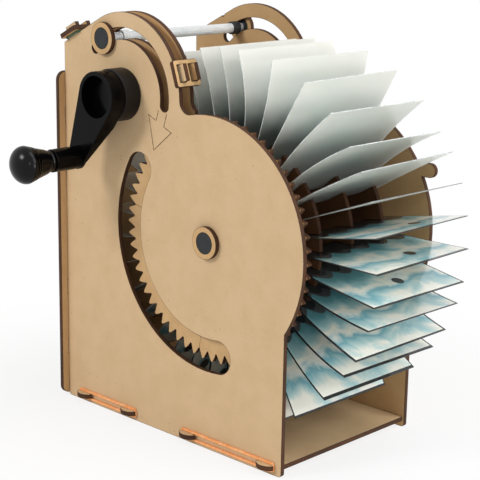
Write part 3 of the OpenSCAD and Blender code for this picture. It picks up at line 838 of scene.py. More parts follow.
@dataclass(frozen=True)
class CardPrint(CardFinish):
    """The printed side: soft bands, scallops at the root and a ball that travels from card to card."""

    name: str = "card_print"
    ink: Tint = Tint(52, 57, 59)
    soft_ink: Tint = Tint(84, 90, 91)
    border: Tint = Tint(24, 27, 29)
    bands: tuple[tuple[float, Tint], ...] = (
        (0.16, Tint(80, 127, 132)),
        (0.36, Tint(106, 167, 176)),
        (0.5, Tint(170, 211, 215)),
        (0.6, Tint(244, 243, 230)),
        (0.68, Tint(226, 234, 228)),
        (0.76, Tint(122, 183, 197)),
        (0.86, Tint(182, 215, 217)),
        (0.95, Tint(243, 243, 233)),
    )
    roll: Wave = Wave(1.3, 0.1, 0.055)
    ripple: Wave = Wave(2.6, 0.4, 0.025)
    ripple_lag: float = 2.0
    cloud_size: float = 4.2
    cloud_detail: float = 4.0
    cloud_curl: float = 0.5
    cloud_share: float = 0.55
    far_scallop: Wave = Wave(2.5, 0.0, 0.1, 0.27, arched=True)
    near_scallop: Wave = Wave(3.5, 0.3, 0.07, 0.23, arched=True)
    blur: float = 0.006
    ball_out: Wave = Wave(3.0, 0.2, 0.14, 0.6)
    ball_side: Wave = Wave(1.0, 0.05, 0.34, 0.5)
    ball_edge: tuple[float, float] = (0.05, 0.042)
    aspect: float = 0.784
    tip_trim: Wave = Wave(7.0, 0.15, 0.01, 0.022)
    side_trim: Wave = Wave(5.0, 0.6, 0.005, 0.013)
    smudge_size: float = 40.0
    glossy: float = 0.1
    dull: float = 0.2
    shine: float = 0.5

    def picture(self, board: Board, reach: Socket, across: Socket, turn: Socket) -> Socket:
        """Draws the bands, the scallops and the ball.

        Args:
            board: The material's board.
            reach: The way from root to tip.
            across: The way across.
            turn: The card's turn in the row.

        Returns:
            The picture's colour.
        """
        sweep = board.plus(across, turn)
        lagging = board.minus(across, board.times(turn, self.ripple_lag))
        spot = (reach, across, turn)
        clouds = self.drift(board, spot, self.cloud_size, self.cloud_detail, self.cloud_curl)
        cloudy = board.times(clouds, self.cloud_share)
        level = board.plus(
            board.plus(reach, self.swing(board, sweep, self.roll)),
            board.plus(self.swing(board, lagging, self.ripple), cloudy),
        )
        colour = board.ramp(level, self.bands)
        rows = ((sweep, self.far_scallop, self.soft_ink), (across, self.near_scallop, self.ink))
        for run, scallop, ink in rows:
            inside = board.minus(self.swing(board, run, scallop), reach)
            colour = board.blend(board.span(inside, -self.blur, self.blur), colour, ink)
        off_reach = board.times(board.minus(reach, self.swing(board, turn, self.ball_out)), self.aspect)
        off_across = board.minus(across, self.swing(board, turn, self.ball_side))
        squares = board.plus(board.times(off_reach, off_reach), board.times(off_across, off_across))
        return board.blend(board.span(board.calc("SQRT", squares), *self.ball_edge), colour, self.ink)

    def paint(self, board: Board, skin: Node, where: Socket) -> None:
        """Prints the card.

        Args:
            board: The material's board.
            skin: The Principled node.
            where: Object coordinates.
        """
        reach, across, turn = self.card_map(board)
        to_side = board.minus(0.5, board.off_middle(across))
        at_tip = board.calc("LESS_THAN", board.minus(1.0, reach), self.swing(board, turn, self.tip_trim))
        at_side = board.calc("LESS_THAN", to_side, self.swing(board, turn, self.side_trim))
        trim = board.calc("MAXIMUM", at_tip, at_side)
        marks = board.effect(Effect.HANDLING_MARKS, Position=where, Broad=self.smudge_size)
        board.fill(skin, {
            "Base Color": board.blend(trim, self.picture(board, reach, across, turn), self.border),
            "Roughness": board.span(marks["Smudge"], 0.0, 1.0, self.glossy, self.dull),
            "Specular IOR Level": self.shine,
            "Normal": self.skin_grain(board, where),
        })


@dataclass(frozen=True)
class CardBack(CardFinish):
    """The plain side, darker towards the root, more on some cards than on others: partly the dark end of the
    print showing through, partly painted shade between the cards.
    """

    name: str = "card_back"
    plain: Tint = Tint(230, 229, 222)
    # Colour at the root: the print's show-through plus painted shade between the cards.
    shaded: Tint = Tint(98, 99, 94)
    cool: Tint = Tint(220, 219, 212)
    patch_size: float = 2.4
    patch_detail: float = 3.0
    patch_share: float = 0.22
    shade_edge: tuple[float, float] = (0.68, 0.26)
    shade_row: tuple[float, float, float, float] = (0.1, 0.19, 0.15, 1.0)
    smudge_size: float = 30.0
    smudge_share: float = 0.3
    glossy: float = 0.3
    dull: float = 0.34
    shine: float = 0.35
    glow: float = 0.6
    glow_depth: float = 0.5 * MM

    def paint(self, board: Board, skin: Node, where: Socket) -> None:
        """Lays the print's show-through with painted shade, and faint handling marks, on the plain side.

        Args:
            board: The material's board.
            skin: The Principled node.
            where: Object coordinates.
        """
        spot = self.card_map(board)
        patches = self.drift(board, spot, self.patch_size, self.patch_detail, 0.0)
        drift = board.times(patches, self.patch_share)
        # Painted shade with the show-through: darkest at the root, weak on the first cards of the row.
        shade = board.span(board.plus(spot[0], drift), *self.shade_edge)
        shade = board.times(shade, board.span(spot[2], *self.shade_row))
        marks = board.effect(Effect.HANDLING_MARKS, Position=where, Broad=self.smudge_size)
        colour = board.blend(board.times(marks["Smudge"], self.smudge_share), self.plain, self.cool)
        board.fill(skin, {
            "Base Color": board.blend(shade, colour, self.shaded),
            "Roughness": board.span(marks["Smudge"], 0.0, 1.0, self.glossy, self.dull),
            "Specular IOR Level": self.shine,
            "Subsurface Weight": self.glow,
            "Subsurface Radius": (1.0, 1.0, 1.0),
            "Subsurface Scale": self.glow_depth,
            "Normal": self.skin_grain(board, where),
        })


@dataclass(frozen=True)
class CardRim(CardFinish):
    """The cut edge of a card."""

    name: str = "card_rim"
    bright: Tint = Tint(226, 230, 230)
    dusty: Tint = Tint(176, 184, 184)
    # Rim colour on the lower fan: print ink plus painted shade.
    inked_and_shaded: Tint = Tint(34, 37, 39)
    patch_size: float = 320.0
    ink_and_shade_wave: Wave = Wave(1.0, 0.375, 1.0)
    ink_and_shade_edge: tuple[float, float] = (0.1, 0.6)
    glossy: float = 0.4
    dull: float = 0.6

    def paint(self, board: Board, skin: Node, where: Socket) -> None:
        """Lays an uneven cut on the edge, darkened on the cards of the lower fan: partly ink soaked into the
        cut, partly painted shade.

        Args:
            board: The material's board.
            skin: The Principled node.
            where: Object coordinates.
        """
        patch = board.noise(where, self.patch_size, 2.0)
        # Darker rims on part of the row: print ink plus painted shade.
        ink_and_shade = board.span(self.swing(board, self.card_map(board)[2], self.ink_and_shade_wave), *self.ink_and_shade_edge)
        plain = board.blend(board.span(patch, 0.35, 0.7), self.bright, self.dusty)
        board.fill(skin, {
            "Base Color": board.blend(ink_and_shade, plain, self.inked_and_shaded),
            "Roughness": board.span(patch, 0.3, 0.7, self.glossy, self.dull),
        })


@dataclass(frozen=True)
class Finishes:
    """Every finish on the viewer."""

    panel: Finish = Fibreboard("fibreboard_panel", Tint(214, 184, 145), Tint(198, 167, 125))
    # A darker copy of the panel's fibreboard for the gear plate, rear panel and wall: painted shade, as these
    # sheets stand in the case's shadow.
    inner: Finish = Fibreboard("fibreboard_shaded_copy", Tint(202, 166, 120), Tint(184, 146, 100))
    # A much darker copy of the fibreboard for the drum's carrier, discs and stays: painted shade, as these
    # parts sit deep between the cards.
    core: Finish = Fibreboard("fibreboard_shaded_drum", Tint(106, 71, 43), Tint(86, 56, 33))
    small: Finish = Fibreboard("fibreboard_small", Tint(212, 176, 128), Tint(186, 147, 100), mottle=110.0)
    handle: Finish = Moulded("handle_plastic", Tint(4, 4, 5), Tint(9, 9, 10), 0.17, 0.27, 0.08)
    knob: Finish = Moulded("knob_plastic", Tint(5, 5, 6), Tint(11, 11, 12), 0.17, 0.25, 0.17)
    boss: Finish = Moulded("boss_plastic", Tint(12, 11, 11), Tint(24, 23, 22), 0.38, 0.5, 0.22, 900.0, 0.16)
    plug: Finish = Moulded("plug_plastic", Tint(38, 41, 42), Tint(54, 57, 58), 0.44, 0.6, 0.22, 1100.0, 0.14)
    rod: Finish = ClearRod("rod_plastic", Tint(240, 243, 243), Tint(228, 233, 234))
    orange: Finish = Rubber("orange_band", Tint(250, 166, 100), Tint(253, 204, 156))
    green: Finish = Rubber("green_band", Tint(74, 108, 86), Tint(104, 134, 112))
    steel: Finish = Steel("drawn_steel", Tint(176, 177, 179), Tint(122, 116, 110))
    print_side: Finish = CardPrint()
    back_side: Finish = CardBack()
    card_edge: Finish = CardRim()


@dataclass(frozen=True)
class Copy:
    """A merged copy of a CAD node's mesh."""

    node: str
    merge: float = 0.002 * MM
    flat_turn: float = math.radians(0.4)
    sharp_turn: float = math.radians(35.0)

    def flatten(self, made: Shape) -> None:
        """Makes the flat faces of a mesh whole.

        Args:
            made: The mesh.
        """
        bmesh.ops.dissolve_limit(made, angle_limit=self.flat_turn, verts=made.verts[:], edges=made.edges[:])

    def shape(self) -> Shape:
        """Copies the node with its flat faces whole.

        Returns:
            A closed mesh.
        """
        made = bmesh.new()
        made.from_mesh(bpy.data.objects[self.node].data)
        bmesh.ops.remove_doubles(made, verts=made.verts[:], dist=self.merge)
        self.flatten(made)
        made.normal_update()
        return made

    def corners(self, made: Shape) -> list[bmesh.types.BMEdge]:
        """Finds the edges that stand out.

        Args:
            made: The mesh.

        Returns:
            Its sharp outward edges.
        """
        outward = [edge for edge in made.edges if edge.is_manifold and edge.is_convex]
        return [edge for edge in outward if edge.calc_face_angle(0.0) > self.sharp_turn]

    def softened(self, width: float, steps: int) -> Shape:
        """Copies the node with rounded corners.

        Args:
            width: How far each rounding reaches.
            steps: How many facets it has.

        Returns:
            The rounded mesh.
        """
        made = self.shape()
        round_off(made, self.corners(made), width, steps)
        made.normal_update()
        return made


@dataclass(frozen=True)
class Turned:
    """A piece turned on an axis that runs along Y."""

    axis: tuple[float, float]
    steps: int
    merge: float = 0.001 * MM

    def shape(self, line: Sequence[tuple[float, float]]) -> Shape:
        """Turns a half section.

        Args:
            line: Places along Y and radii, from the axis round to the axis.

        Returns:
            A closed mesh.
        """
        made = bmesh.new()
        verts = [made.verts.new((self.axis[0] + radius, place, self.axis[1])) for place, radius in line]
        edges = [made.edges.new(pair) for pair in zip(verts, verts[1:])]
        bmesh.ops.spin(
            made, geom=verts + edges, cent=(self.axis[0], 0.0, self.axis[1]), axis=(0.0, 1.0, 0.0),
            angle=math.tau, steps=self.steps, use_merge=True,
        )
        bmesh.ops.remove_doubles(made, verts=made.verts[:], dist=self.merge)
        bmesh.ops.recalc_face_normals(made, faces=made.faces[:])
        return made


@dataclass(frozen=True)
class CutSheet:
    """A laser-cut sheet made from a copy: broken edges, and marks for where the cut burnt it."""

    node: str
    halo: float
    tooth_round: float
    tooth_steps: int = 3
    arris: float = 0.12 * MM
    on_face: float = 0.97
    in_groove: float = 0.9
    groove_scorch: float = 0.62

    def islands(self, made: Shape) -> list[list[bmesh.types.BMVert]]:
        """Sorts vertices into the solids that they belong to.

        Args:
            made: The mesh.

        Returns:
            One list for each solid.
        """
        left = set(made.verts)
        found = []
        while left:
            queue = [left.pop()]
            solid = list(queue)
            while queue:
                for edge in queue.pop().link_edges:
                    for vert in edge.verts:
                        if vert in left:
                            left.discard(vert)
                            queue.append(vert)
                            solid.append(vert)
            found.append(solid)
        return found

    def open_faces(self, made: Shape, axis: Vector) -> set[bmesh.types.BMFace]:
        """Measures how deep each vertex lies in its sheet and finds the sheet's two open faces.

        Args:
            made: The mesh.
            axis: The way through the sheet.

        Returns:
            The faces that lie on either side of the sheet.
        """
        depth = made.verts.layers.float.get("depth") or made.verts.layers.float.new("depth")
        for solid in self.islands(made):
            levels = [vert.co.dot(axis) for vert in solid]
            middle, half = (max(levels) + min(levels)) / 2.0, (max(levels) - min(levels)) / 2.0
            for vert, level in zip(solid, levels):
                vert[depth] = (level - middle) / half
        level_faces = [face for face in made.faces if abs(face.normal.dot(axis)) > self.on_face]
        return {face for face in level_faces if all(abs(vert[depth]) > self.on_face for vert in face.verts)}

    def along(self, edge: bmesh.types.BMEdge, axis: Vector) -> bool:
        """Tells whether an edge runs through the sheet.

        Args:
            edge: The edge.
            axis: The way through the sheet.

        Returns:
            Whether it does.
        """
        return abs((edge.verts[0].co - edge.verts[1].co).normalized().dot(axis)) > self.on_face

    def shape(self) -> Shape:
        """Builds the sheet.

        Returns:
            A mesh with "depth" from -1 to 1 through the sheet and "scorch" from 0 on the face to 1 on a cut.
        """
        copy = Copy(self.node)
        made = copy.shape()
        axis = max(made.faces, key=lambda face: face.calc_area()).normal.copy()
        if self.tooth_round:
            teeth = [edge for edge in copy.corners(made) if self.along(edge, axis)]
            round_off(made, teeth, self.tooth_round, self.tooth_steps)
            made.normal_update()
        round_off(made, copy.corners(made), self.arris, 1)
        made.normal_update()
        bmesh.ops.inset_region(
            made, faces=list(self.open_faces(made, axis)), thickness=self.halo, depth=0.0,
            use_boundary=True, use_even_offset=True,
        )
        made.normal_update()
        flat = self.open_faces(made, axis)
        depth = made.verts.layers.float["depth"]
        scorch = made.verts.layers.float.new("scorch")
        groove = {f for f in made.faces if any(abs(v[depth]) < self.in_groove for v in f.verts)}
        groove |= {f for e in made.edges for f in e.link_faces if groove.intersection(e.link_faces)}
        for face in set(made.faces) - flat:
            burn = self.groove_scorch if face in groove else 1.0
            for vert in face.verts:
                vert[scorch] = max(vert[scorch], burn)
        return made


@dataclass
class SubAssembly:
    """Pieces that ride on one body."""

    body: Body
    finishes: Finishes
    dressed: list[tuple[Piece, tuple[Finish, ...]]] = field(default_factory=list)
    tooth_halo: float = 0.28 * MM
    small_halo: float = 0.4 * MM
    plug_round: float = 0.35 * MM
    plug_steps: int = 2
    soft_crease: float = 40.0

    def add(
        self, name: str, made: Shape, nodes: Sequence[str], slot: Slot, finish: Sequence[Finish],
        crease: float = 30.0,
    ) -> Piece:
        """Turns a mesh into a piece that stands for CAD nodes.

        Args:
            name: The piece's name.
            made: Its mesh, which is freed.
            nodes: The CAD nodes that it stands for.
            slot: The record's material slot; not used.
            finish: Its finishes, by material index.
            crease: Angle in degrees past which an edge shades as sharp.

        Returns:
            The piece.
        """
        mesh = bake(name, made)
        if "custom_normal" in mesh.attributes:
            mesh.attributes.remove(mesh.attributes["custom_normal"])
        mesh.shade_smooth()
        mesh.set_sharp_from_angle(angle=math.radians(crease))
        piece = put(name, mesh)
        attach(piece, self.body.value)
        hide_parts(*nodes)
        self.dressed.append((piece, tuple(finish)))
        log.info("%s: %d faces on %s", name, len(mesh.polygons), self.body.value)
        return piece

    def keep(self, node: str, finish: Finish) -> None:
        """Keeps a CAD node's own shape and gives it a finish.

        Args:
            node: The node.
            finish: Its finish.
        """
        self.dressed.append((bpy.data.objects[node], (finish,)))
        log.info("%s: kept on %s", node, self.body.value)

    def add_sheet(self, node: str, finish: Finish, halo: float, tooth_round: float = 0.0) -> None:
        """Adds a laser-cut sheet.

        Args:
            node: The CAD node.
            finish: Its finish.
            halo: How far the burn reaches on the face.
            tooth_round: How far the corners of its teeth are rounded.
        """
        made = CutSheet(node, halo, tooth_round).shape()
        self.add(node + "_sheet", made, (node,), Slot.FIBREBOARD, (finish,))

    def add_soft(self, node: str, slot: Slot, finish: Finish, width: float, steps: int) -> None:
        """Adds a rounded copy, with its broad faces shaded flat.

        Args:
            node: The CAD node.
            slot: The record's material slot.
            finish: Its finish.
            width: How far each rounding reaches.
            steps: How many facets it has.
        """
        made = Copy(node).softened(width, steps)
        self.level(self.add(node + "_soft", made, (node,), slot, (finish,), self.soft_crease))

    def add_plug(self, node: str) -> None:
        """Adds a dark plastic plug or sleeve.

        Args:
            node: The CAD node.
        """
        self.add_soft(node, Slot.DARK_PLASTIC, self.finishes.plug, self.plug_round, self.plug_steps)

    def level(self, piece: Piece) -> None:
        """Shades the broad faces of a rounded piece flat.

        Args:
            piece: The piece.
        """
        piece.modifiers.new("even_faces", "WEIGHTED_NORMAL").keep_sharp = True

    def dress(self) -> None:
        """Puts each piece's materials on it."""
        for piece, finishes in self.dressed:
            if piece.material_slots:
                piece.material_slots[0].material = finishes[0].material()
            else:
                piece.data.materials.append(finishes[0].material())
            for finish in finishes[1:]:
                piece.data.materials.append(finish.material())


@dataclass
class Case(SubAssembly):
    """The panels, gear plate, wall, base and what ties them together."""

    wide_halo: float = 0.55 * MM
    band_round: float = 0.5 * MM
    band_steps: int = 3
    bands: tuple[str, ...] = (
        "base_band_front_viewer_end",
        "base_band_front_card_end",
        "base_band_rear_viewer_end",
        "base_band_rear_card_end",
        "wall_band_front_lower",
        "wall_band_front_upper",
        "wall_band_rear_lower",
        "wall_band_rear_upper",
    )

    def build(self) -> None:
        """Builds the sheets, buckles, bands and idler pin."""
        for node in ("front_panel", "base_plate"):
            self.add_sheet(node, self.finishes.panel, self.wide_halo)
        # The gear plate, rear panel and wall take the darker copy of the fibreboard: painted shade.
        for node in ("gear_plate", "rear_panel", "viewer_wall"):
            self.add_sheet(node, self.finishes.inner, self.wide_halo)
        for node in ("neck_buckle", "slope_buckle", "idler_spacers"):
            self.add_sheet(node, self.finishes.small, self.small_halo)
        for node in self.bands:
            self.add_soft(node, Slot.ORANGE_RUBBER, self.finishes.orange, self.band_round, self.band_steps)
        for node in ("neck_band", "slope_band"):
            self.add_soft(node, Slot.GREEN_RUBBER, self.finishes.green, self.band_round, self.band_steps)
        self.keep("idler_pin", self.finishes.steel)


@dataclass
class PictureCards(SubAssembly):
    """The row of picture cards, each bent the way that it leans."""

    axle: tuple[float, float] = (36.2866 * MM, 137.4 * MM)
    near_side: float = 17.0 * MM
    width: float = 89.0 * MM
    root: float = 51.2 * MM
    length: float = 69.8 * MM
    held: float = 65.2 * MM
    thickness: float = 0.46 * MM
    count: int = 36
    rows: int = 18
    columns: int = 14
    twist: float = math.radians(2.4)
    twist_step: float = 2.3
    twist_start: float = 0.7
    straight: float = 1e-6
    on_side: float = 0.5
    fan_step: int = 10
    fans: tuple[tuple[int, tuple[float, ...]], ...] = (
        (-60, (0.0, 18.0, 23.0, 11.0, 12.0, 0.0)),
        (20, (0.0, -4.0, -16.0, -11.0, 1.0, 14.0, 32.0, 22.0, 13.0, 0.0)),
    )

    def curl(self, degrees: float) -> float:
        """Reads how much a card curls from where it points, as the solids do.

        Args:
            degrees: The way that its root points, from -180 to 180.

        Returns:
            Its curl from the discs to the tip, in degrees.
        """
        for start, curls in self.fans:
            place = (degrees - start) / self.fan_step
            if 0.0 <= place < len(curls) - 1:
                low = int(place)
                return curls[low] + (place - low) * (curls[low + 1] - curls[low])
        return 0.0

    def along(self, walked: float, curl: float) -> tuple[float, float, float]:
        """Walks along a card from its root.

        Args:
            walked: The distance walked.
            curl: The card's curl, in radians.

        Returns:
            How far out and how far round that is from the axle, and the card's lean there.
        """
        free = self.root + self.length - self.held
        past = walked - (self.held - self.root)
        if past <= 0.0 or abs(curl) < self.straight:
            return self.root + walked, 0.0, 0.0
        lean = curl * past / free
        radius = free / curl
        return self.held + radius * math.sin(lean), radius * (1.0 - math.cos(lean)), lean

    def card(self, number: int) -> Shape:
        """Builds one card.

        Args:
            number: Its place in the row.

        Returns:
            A closed sheet with print, back and rim as materials 0, 1 and 2.
        """
        points = 360.0 / self.count * number
        curl = math.radians(self.curl(points - 360.0 if points > 180.0 else points))
        twist = self.twist * math.sin(self.twist_step * number + self.twist_start)
        side = self.thickness / 2.0
        made = bmesh.new()
        made.loops.layers.uv.new("card")
        bmesh.ops.create_grid(made, x_segments=self.rows, y_segments=self.columns, size=0.5, calc_uvs=True)
        turn = made.verts.layers.float.new("turn")
        for vert in made.verts:
            across = vert.co.y + 0.5
            walked = (vert.co.x + 0.5) * self.length
            out, around, lean = self.along(walked, curl + twist * (across - 0.5))
            raised = around + side * math.cos(lean)
            vert.co = Vector((out - side * math.sin(lean), self.width * across, raised))
            vert[turn] = number / self.count
        angle = math.radians(points)
        place = Matrix.Translation((self.axle[0], self.near_side, self.axle[1]))
        bmesh.ops.transform(made, matrix=place @ Matrix.Rotation(-angle, 4, "Y"), verts=made.verts[:])
        way = Vector((-math.sin(angle), 0.0, math.cos(angle)))
        made.normal_update()
        if sum(face.normal.dot(way) for face in made.faces) < 0.0:
            bmesh.ops.reverse_faces(made, faces=made.faces[:])
        bmesh.ops.solidify(made, geom=made.faces[:], thickness=self.thickness)
        made.normal_update()
        for face in made.faces:
            facing = face.normal.dot(way)
            face.material_index = 0 if facing > self.on_side else 1 if facing < -self.on_side else 2
        return made

    def build(self) -> None:
        """Builds all the cards."""
        sides = (self.finishes.print_side, self.finishes.back_side, self.finishes.card_edge)
        for number in range(self.count):
            name = f"picture_card_{number + 1:02d}"
            self.add(name, self.card(number), ("picture_cards",), Slot.CARD, sides, self.soft_crease)


@dataclass
class Drum(SubAssembly):
    """The toothed rim, discs, stays, axle and end fittings that turn with the cards."""

    tooth_round: float = 0.5 * MM

    def build(self) -> None:
        """Builds the wooden parts, the axle and the plugs."""
        for side in ("top", "left", "bottom", "right"):
            self.add_sheet("gear_sector_" + side, self.finishes.small, self.tooth_halo, self.tooth_round)
        # The carrier, discs and stays take the very dark copy of the fibreboard: painted shade.
        for node in ("gear_carrier", "card_disc_front", "card_disc_middle", "card_disc_rear"):
            self.add_sheet(node, self.finishes.core, self.tooth_halo)
        for place in ("upper_right", "upper_left", "lower_left", "lower_right"):
            self.add_sheet("drum_stay_" + place, self.finishes.core, self.small_halo)
        for end in ("front", "rear"):
            self.add_sheet("axle_spacer_" + end, self.finishes.small, self.small_halo)
            self.add_sheet("axle_ring_" + end, self.finishes.small, self.small_halo)
            self.add_plug("axle_plug_" + end)
        self.keep("drum_axle", self.finishes.plug)


@dataclass
class Crank(SubAssembly):
    """The boss, the crank and the pinion on its shaft."""

    hub_axis: tuple[float, float] = (-42.5866 * MM, 221.9811 * MM)
    face: float = -25.5 * MM
    recess_radius: float = 13.5 * MM
    recess_slack: float = 0.01 * MM
    recess_round: float = 0.45 * MM
    recess_steps: int = 2
    rim_round: float = 1.1 * MM
    rim_steps: int = 4
    post_end: float = -46.0 * MM
    post_radius: float = 7.5 * MM
    post_foot: float = 1.5 * MM
    post_round: float = 0.5 * MM
    post_steps: int = 64
    seat: float = 12.0 * MM
    seat_radius: float = 2.52 * MM
    boss_round: float = 0.5 * MM
    boss_steps: int = 3

    def arm(self) -> Shape:
        """Takes the hub and arm out of the CAD handle and rounds them.

        Returns:
            The rounded mesh, closed where the post stood.
        """
        copy = Copy("crank_handle")
        made = copy.shape()
        bmesh.ops.bisect_plane(
            made, geom=made.verts[:] + made.edges[:] + made.faces[:], dist=copy.merge,
            plane_co=(0.0, self.face, 0.0), plane_no=(0.0, -1.0, 0.0), clear_outer=True,
        )
        bmesh.ops.holes_fill(made, edges=[edge for edge in made.edges if edge.is_boundary], sides=0)
        copy.flatten(made)
        bmesh.ops.recalc_face_normals(made, faces=made.faces[:])
        middle = Vector((self.hub_axis[0], self.face, self.hub_axis[1]))
        reach = self.recess_radius + self.recess_slack
        corners = copy.corners(made)
        inner = [edge for edge in corners if all((vert.co - middle).length < reach for vert in edge.verts)]
        outer = [edge for edge in corners if edge not in inner]
        round_off(made, inner, self.recess_round, self.recess_steps)
        round_off(made, [edge for edge in outer if edge.is_valid], self.rim_round, self.rim_steps)
        made.normal_update()
        return made

    def post(self) -> Shape:
        """Turns the post with its seat for the spindle.

        Returns:
            A closed mesh that starts inside the arm.
        """
        bottom = self.post_end + self.seat
        line = [(bottom, 0.0), (bottom, self.seat_radius), (self.post_end, self.seat_radius)]
        for turn in (math.pi / 2.0, math.pi / 4.0, 0.0):
            place = self.post_end + self.post_round * (1.0 - math.sin(turn))
            line.append((place, self.post_radius - self.post_round * (1.0 - math.cos(turn))))
        foot = self.face + self.post_foot
        line += [(foot, self.post_radius), (foot, 0.0)]
        return Turned(KNOB_AXIS, self.post_steps).shape(line)

    def build(self) -> None:
        """Builds the crank and its hidden gear."""
        handle = self.arm()
        post = bake("post", self.post())
        handle.from_mesh(post)
        bpy.data.meshes.remove(post)
        finish = (self.finishes.handle,)
        name = "crank_handle_soft"
        self.level(self.add(name, handle, ("crank_handle",), Slot.BLACK_PLASTIC, finish, self.soft_crease))
        self.add_soft("crank_boss", Slot.BLACK_PLASTIC, self.finishes.boss, self.boss_round, self.boss_steps)
        for node in ("crank_pinion", "crank_spacers", "crank_collar"):
            self.add_sheet(node, self.finishes.small, self.tooth_halo)
        self.keep("crank_shaft", self.finishes.steel)
        self.keep("knob_spindle", self.finishes.steel)


@dataclass
class Knob(SubAssembly):
    """The turned knob on the crank's post.

    The tables of its profile are in millimetres: how far a point is from the knob's back, or from a
    groove's start, and how far its radius is past that of the neck, the flare or the widest place.
    """

    back: float = -46.6 * MM
    bore: float = 2.56 * MM
    bore_depth: float = 16.0 * MM
    bore_chamfer: float = 0.3 * MM
    neck: float = 7.0 * MM
    widest: float = 12.3 * MM
    flare: float = 20.0 * MM
    flare_bend: float = 0.14
    dome: float = 8.5 * MM
    dome_steps: int = 12
    steps: int = 96
    crease: float = 50.0
    lip: tuple[tuple[float, float], ...] = (
        (0.0, -0.7), (0.15, -0.25), (0.6, 0.0), (1.6, 0.05), (2.1, -0.25), (2.5, -0.25), (3.0, 0.2),
    )
    flare_places: tuple[float, ...] = (5.0, 7.0, 9.0, 11.0, 13.0, 14.4)
    grooves: tuple[float, ...] = (15.0, 17.4)
    groove_cut: tuple[tuple[float, float], ...] = (
        (0.0, 0.0), (0.2, -0.45), (0.45, -0.7), (0.7, -0.4), (0.95, 0.2), (1.5, 0.42),
    )
    shoulder: tuple[float, float] = (19.4, -0.12)

    def profile(self) -> list[tuple[float, float]]:
        """Draws the knob's half section.

        Returns:
            Distance from its back and radius, from the bore's end round to the tip.
        """
        points = [(self.bore_depth, 0.0), (self.bore_depth, self.bore)]
        points += [(self.bore_chamfer, self.bore), (0.0, self.bore + self.bore_chamfer)]
        points += [(place * MM, self.neck + past * MM) for place, past in self.lip]
        swell = self.widest - self.neck
        for place in self.flare_places:
            share = place * MM / self.flare
            bent = (1.0 - self.flare_bend) * share + self.flare_bend * share * share
            points.append((place * MM, self.neck + swell * bent))
        for start in self.grooves:
            full = self.neck + swell * (start * MM / self.flare)
            points += [((start + place) * MM, full + past * MM) for place, past in self.groove_cut]
        points.append((self.shoulder[0] * MM, self.widest + self.shoulder[1] * MM))
        for number in range(self.dome_steps):
            angle = math.pi / 2.0 * number / self.dome_steps
            points.append((self.flare + self.dome * math.sin(angle), self.widest * math.cos(angle)))
        points.append((self.flare + self.dome, 0.0))
        return points

    def build(self) -> None:
        """Turns the knob on its axis."""
        line = [(self.back - place, radius) for place, radius in self.profile()]
        made = Turned(KNOB_AXIS, self.steps).shape(line)
        finish = (self.finishes.knob,)
        self.add("crank_knob_turned", made, ("crank_knob",), Slot.BLACK_PLASTIC, finish, self.crease)


@dataclass
class Idler(SubAssembly):
    """The hidden gear between the pinion and the toothed rim."""

    def build(self) -> None:
        """Builds the gear."""
        self.add_sheet("idler_gear", self.finishes.small, self.tooth_halo)


@dataclass
class FlickRod(SubAssembly):
    """The clear rod that holds each card back, with its sleeves and end fittings."""

    def build(self) -> None:
        """Builds the rod's fittings."""
        self.keep("stop_rod", self.finishes.rod)
        sleeve = "rod_sleeve_front"
        self.add_soft(sleeve, Slot.CLEAR_PLASTIC, self.finishes.rod, self.plug_round, self.plug_steps)
        self.add_plug("rod_sleeve_rear")
        for end in ("front", "rear"):
            self.add_sheet("rod_ring_" + end, self.finishes.small, self.small_halo)
            self.add_plug("rod_plug_" + end)


@dataclass(frozen=True)
class Lamp:
    """A square soft lamp: where it hangs, its side in metres and its power in watts."""

    name: str
    place: tuple[float, float, float]
    size: float
    power: float


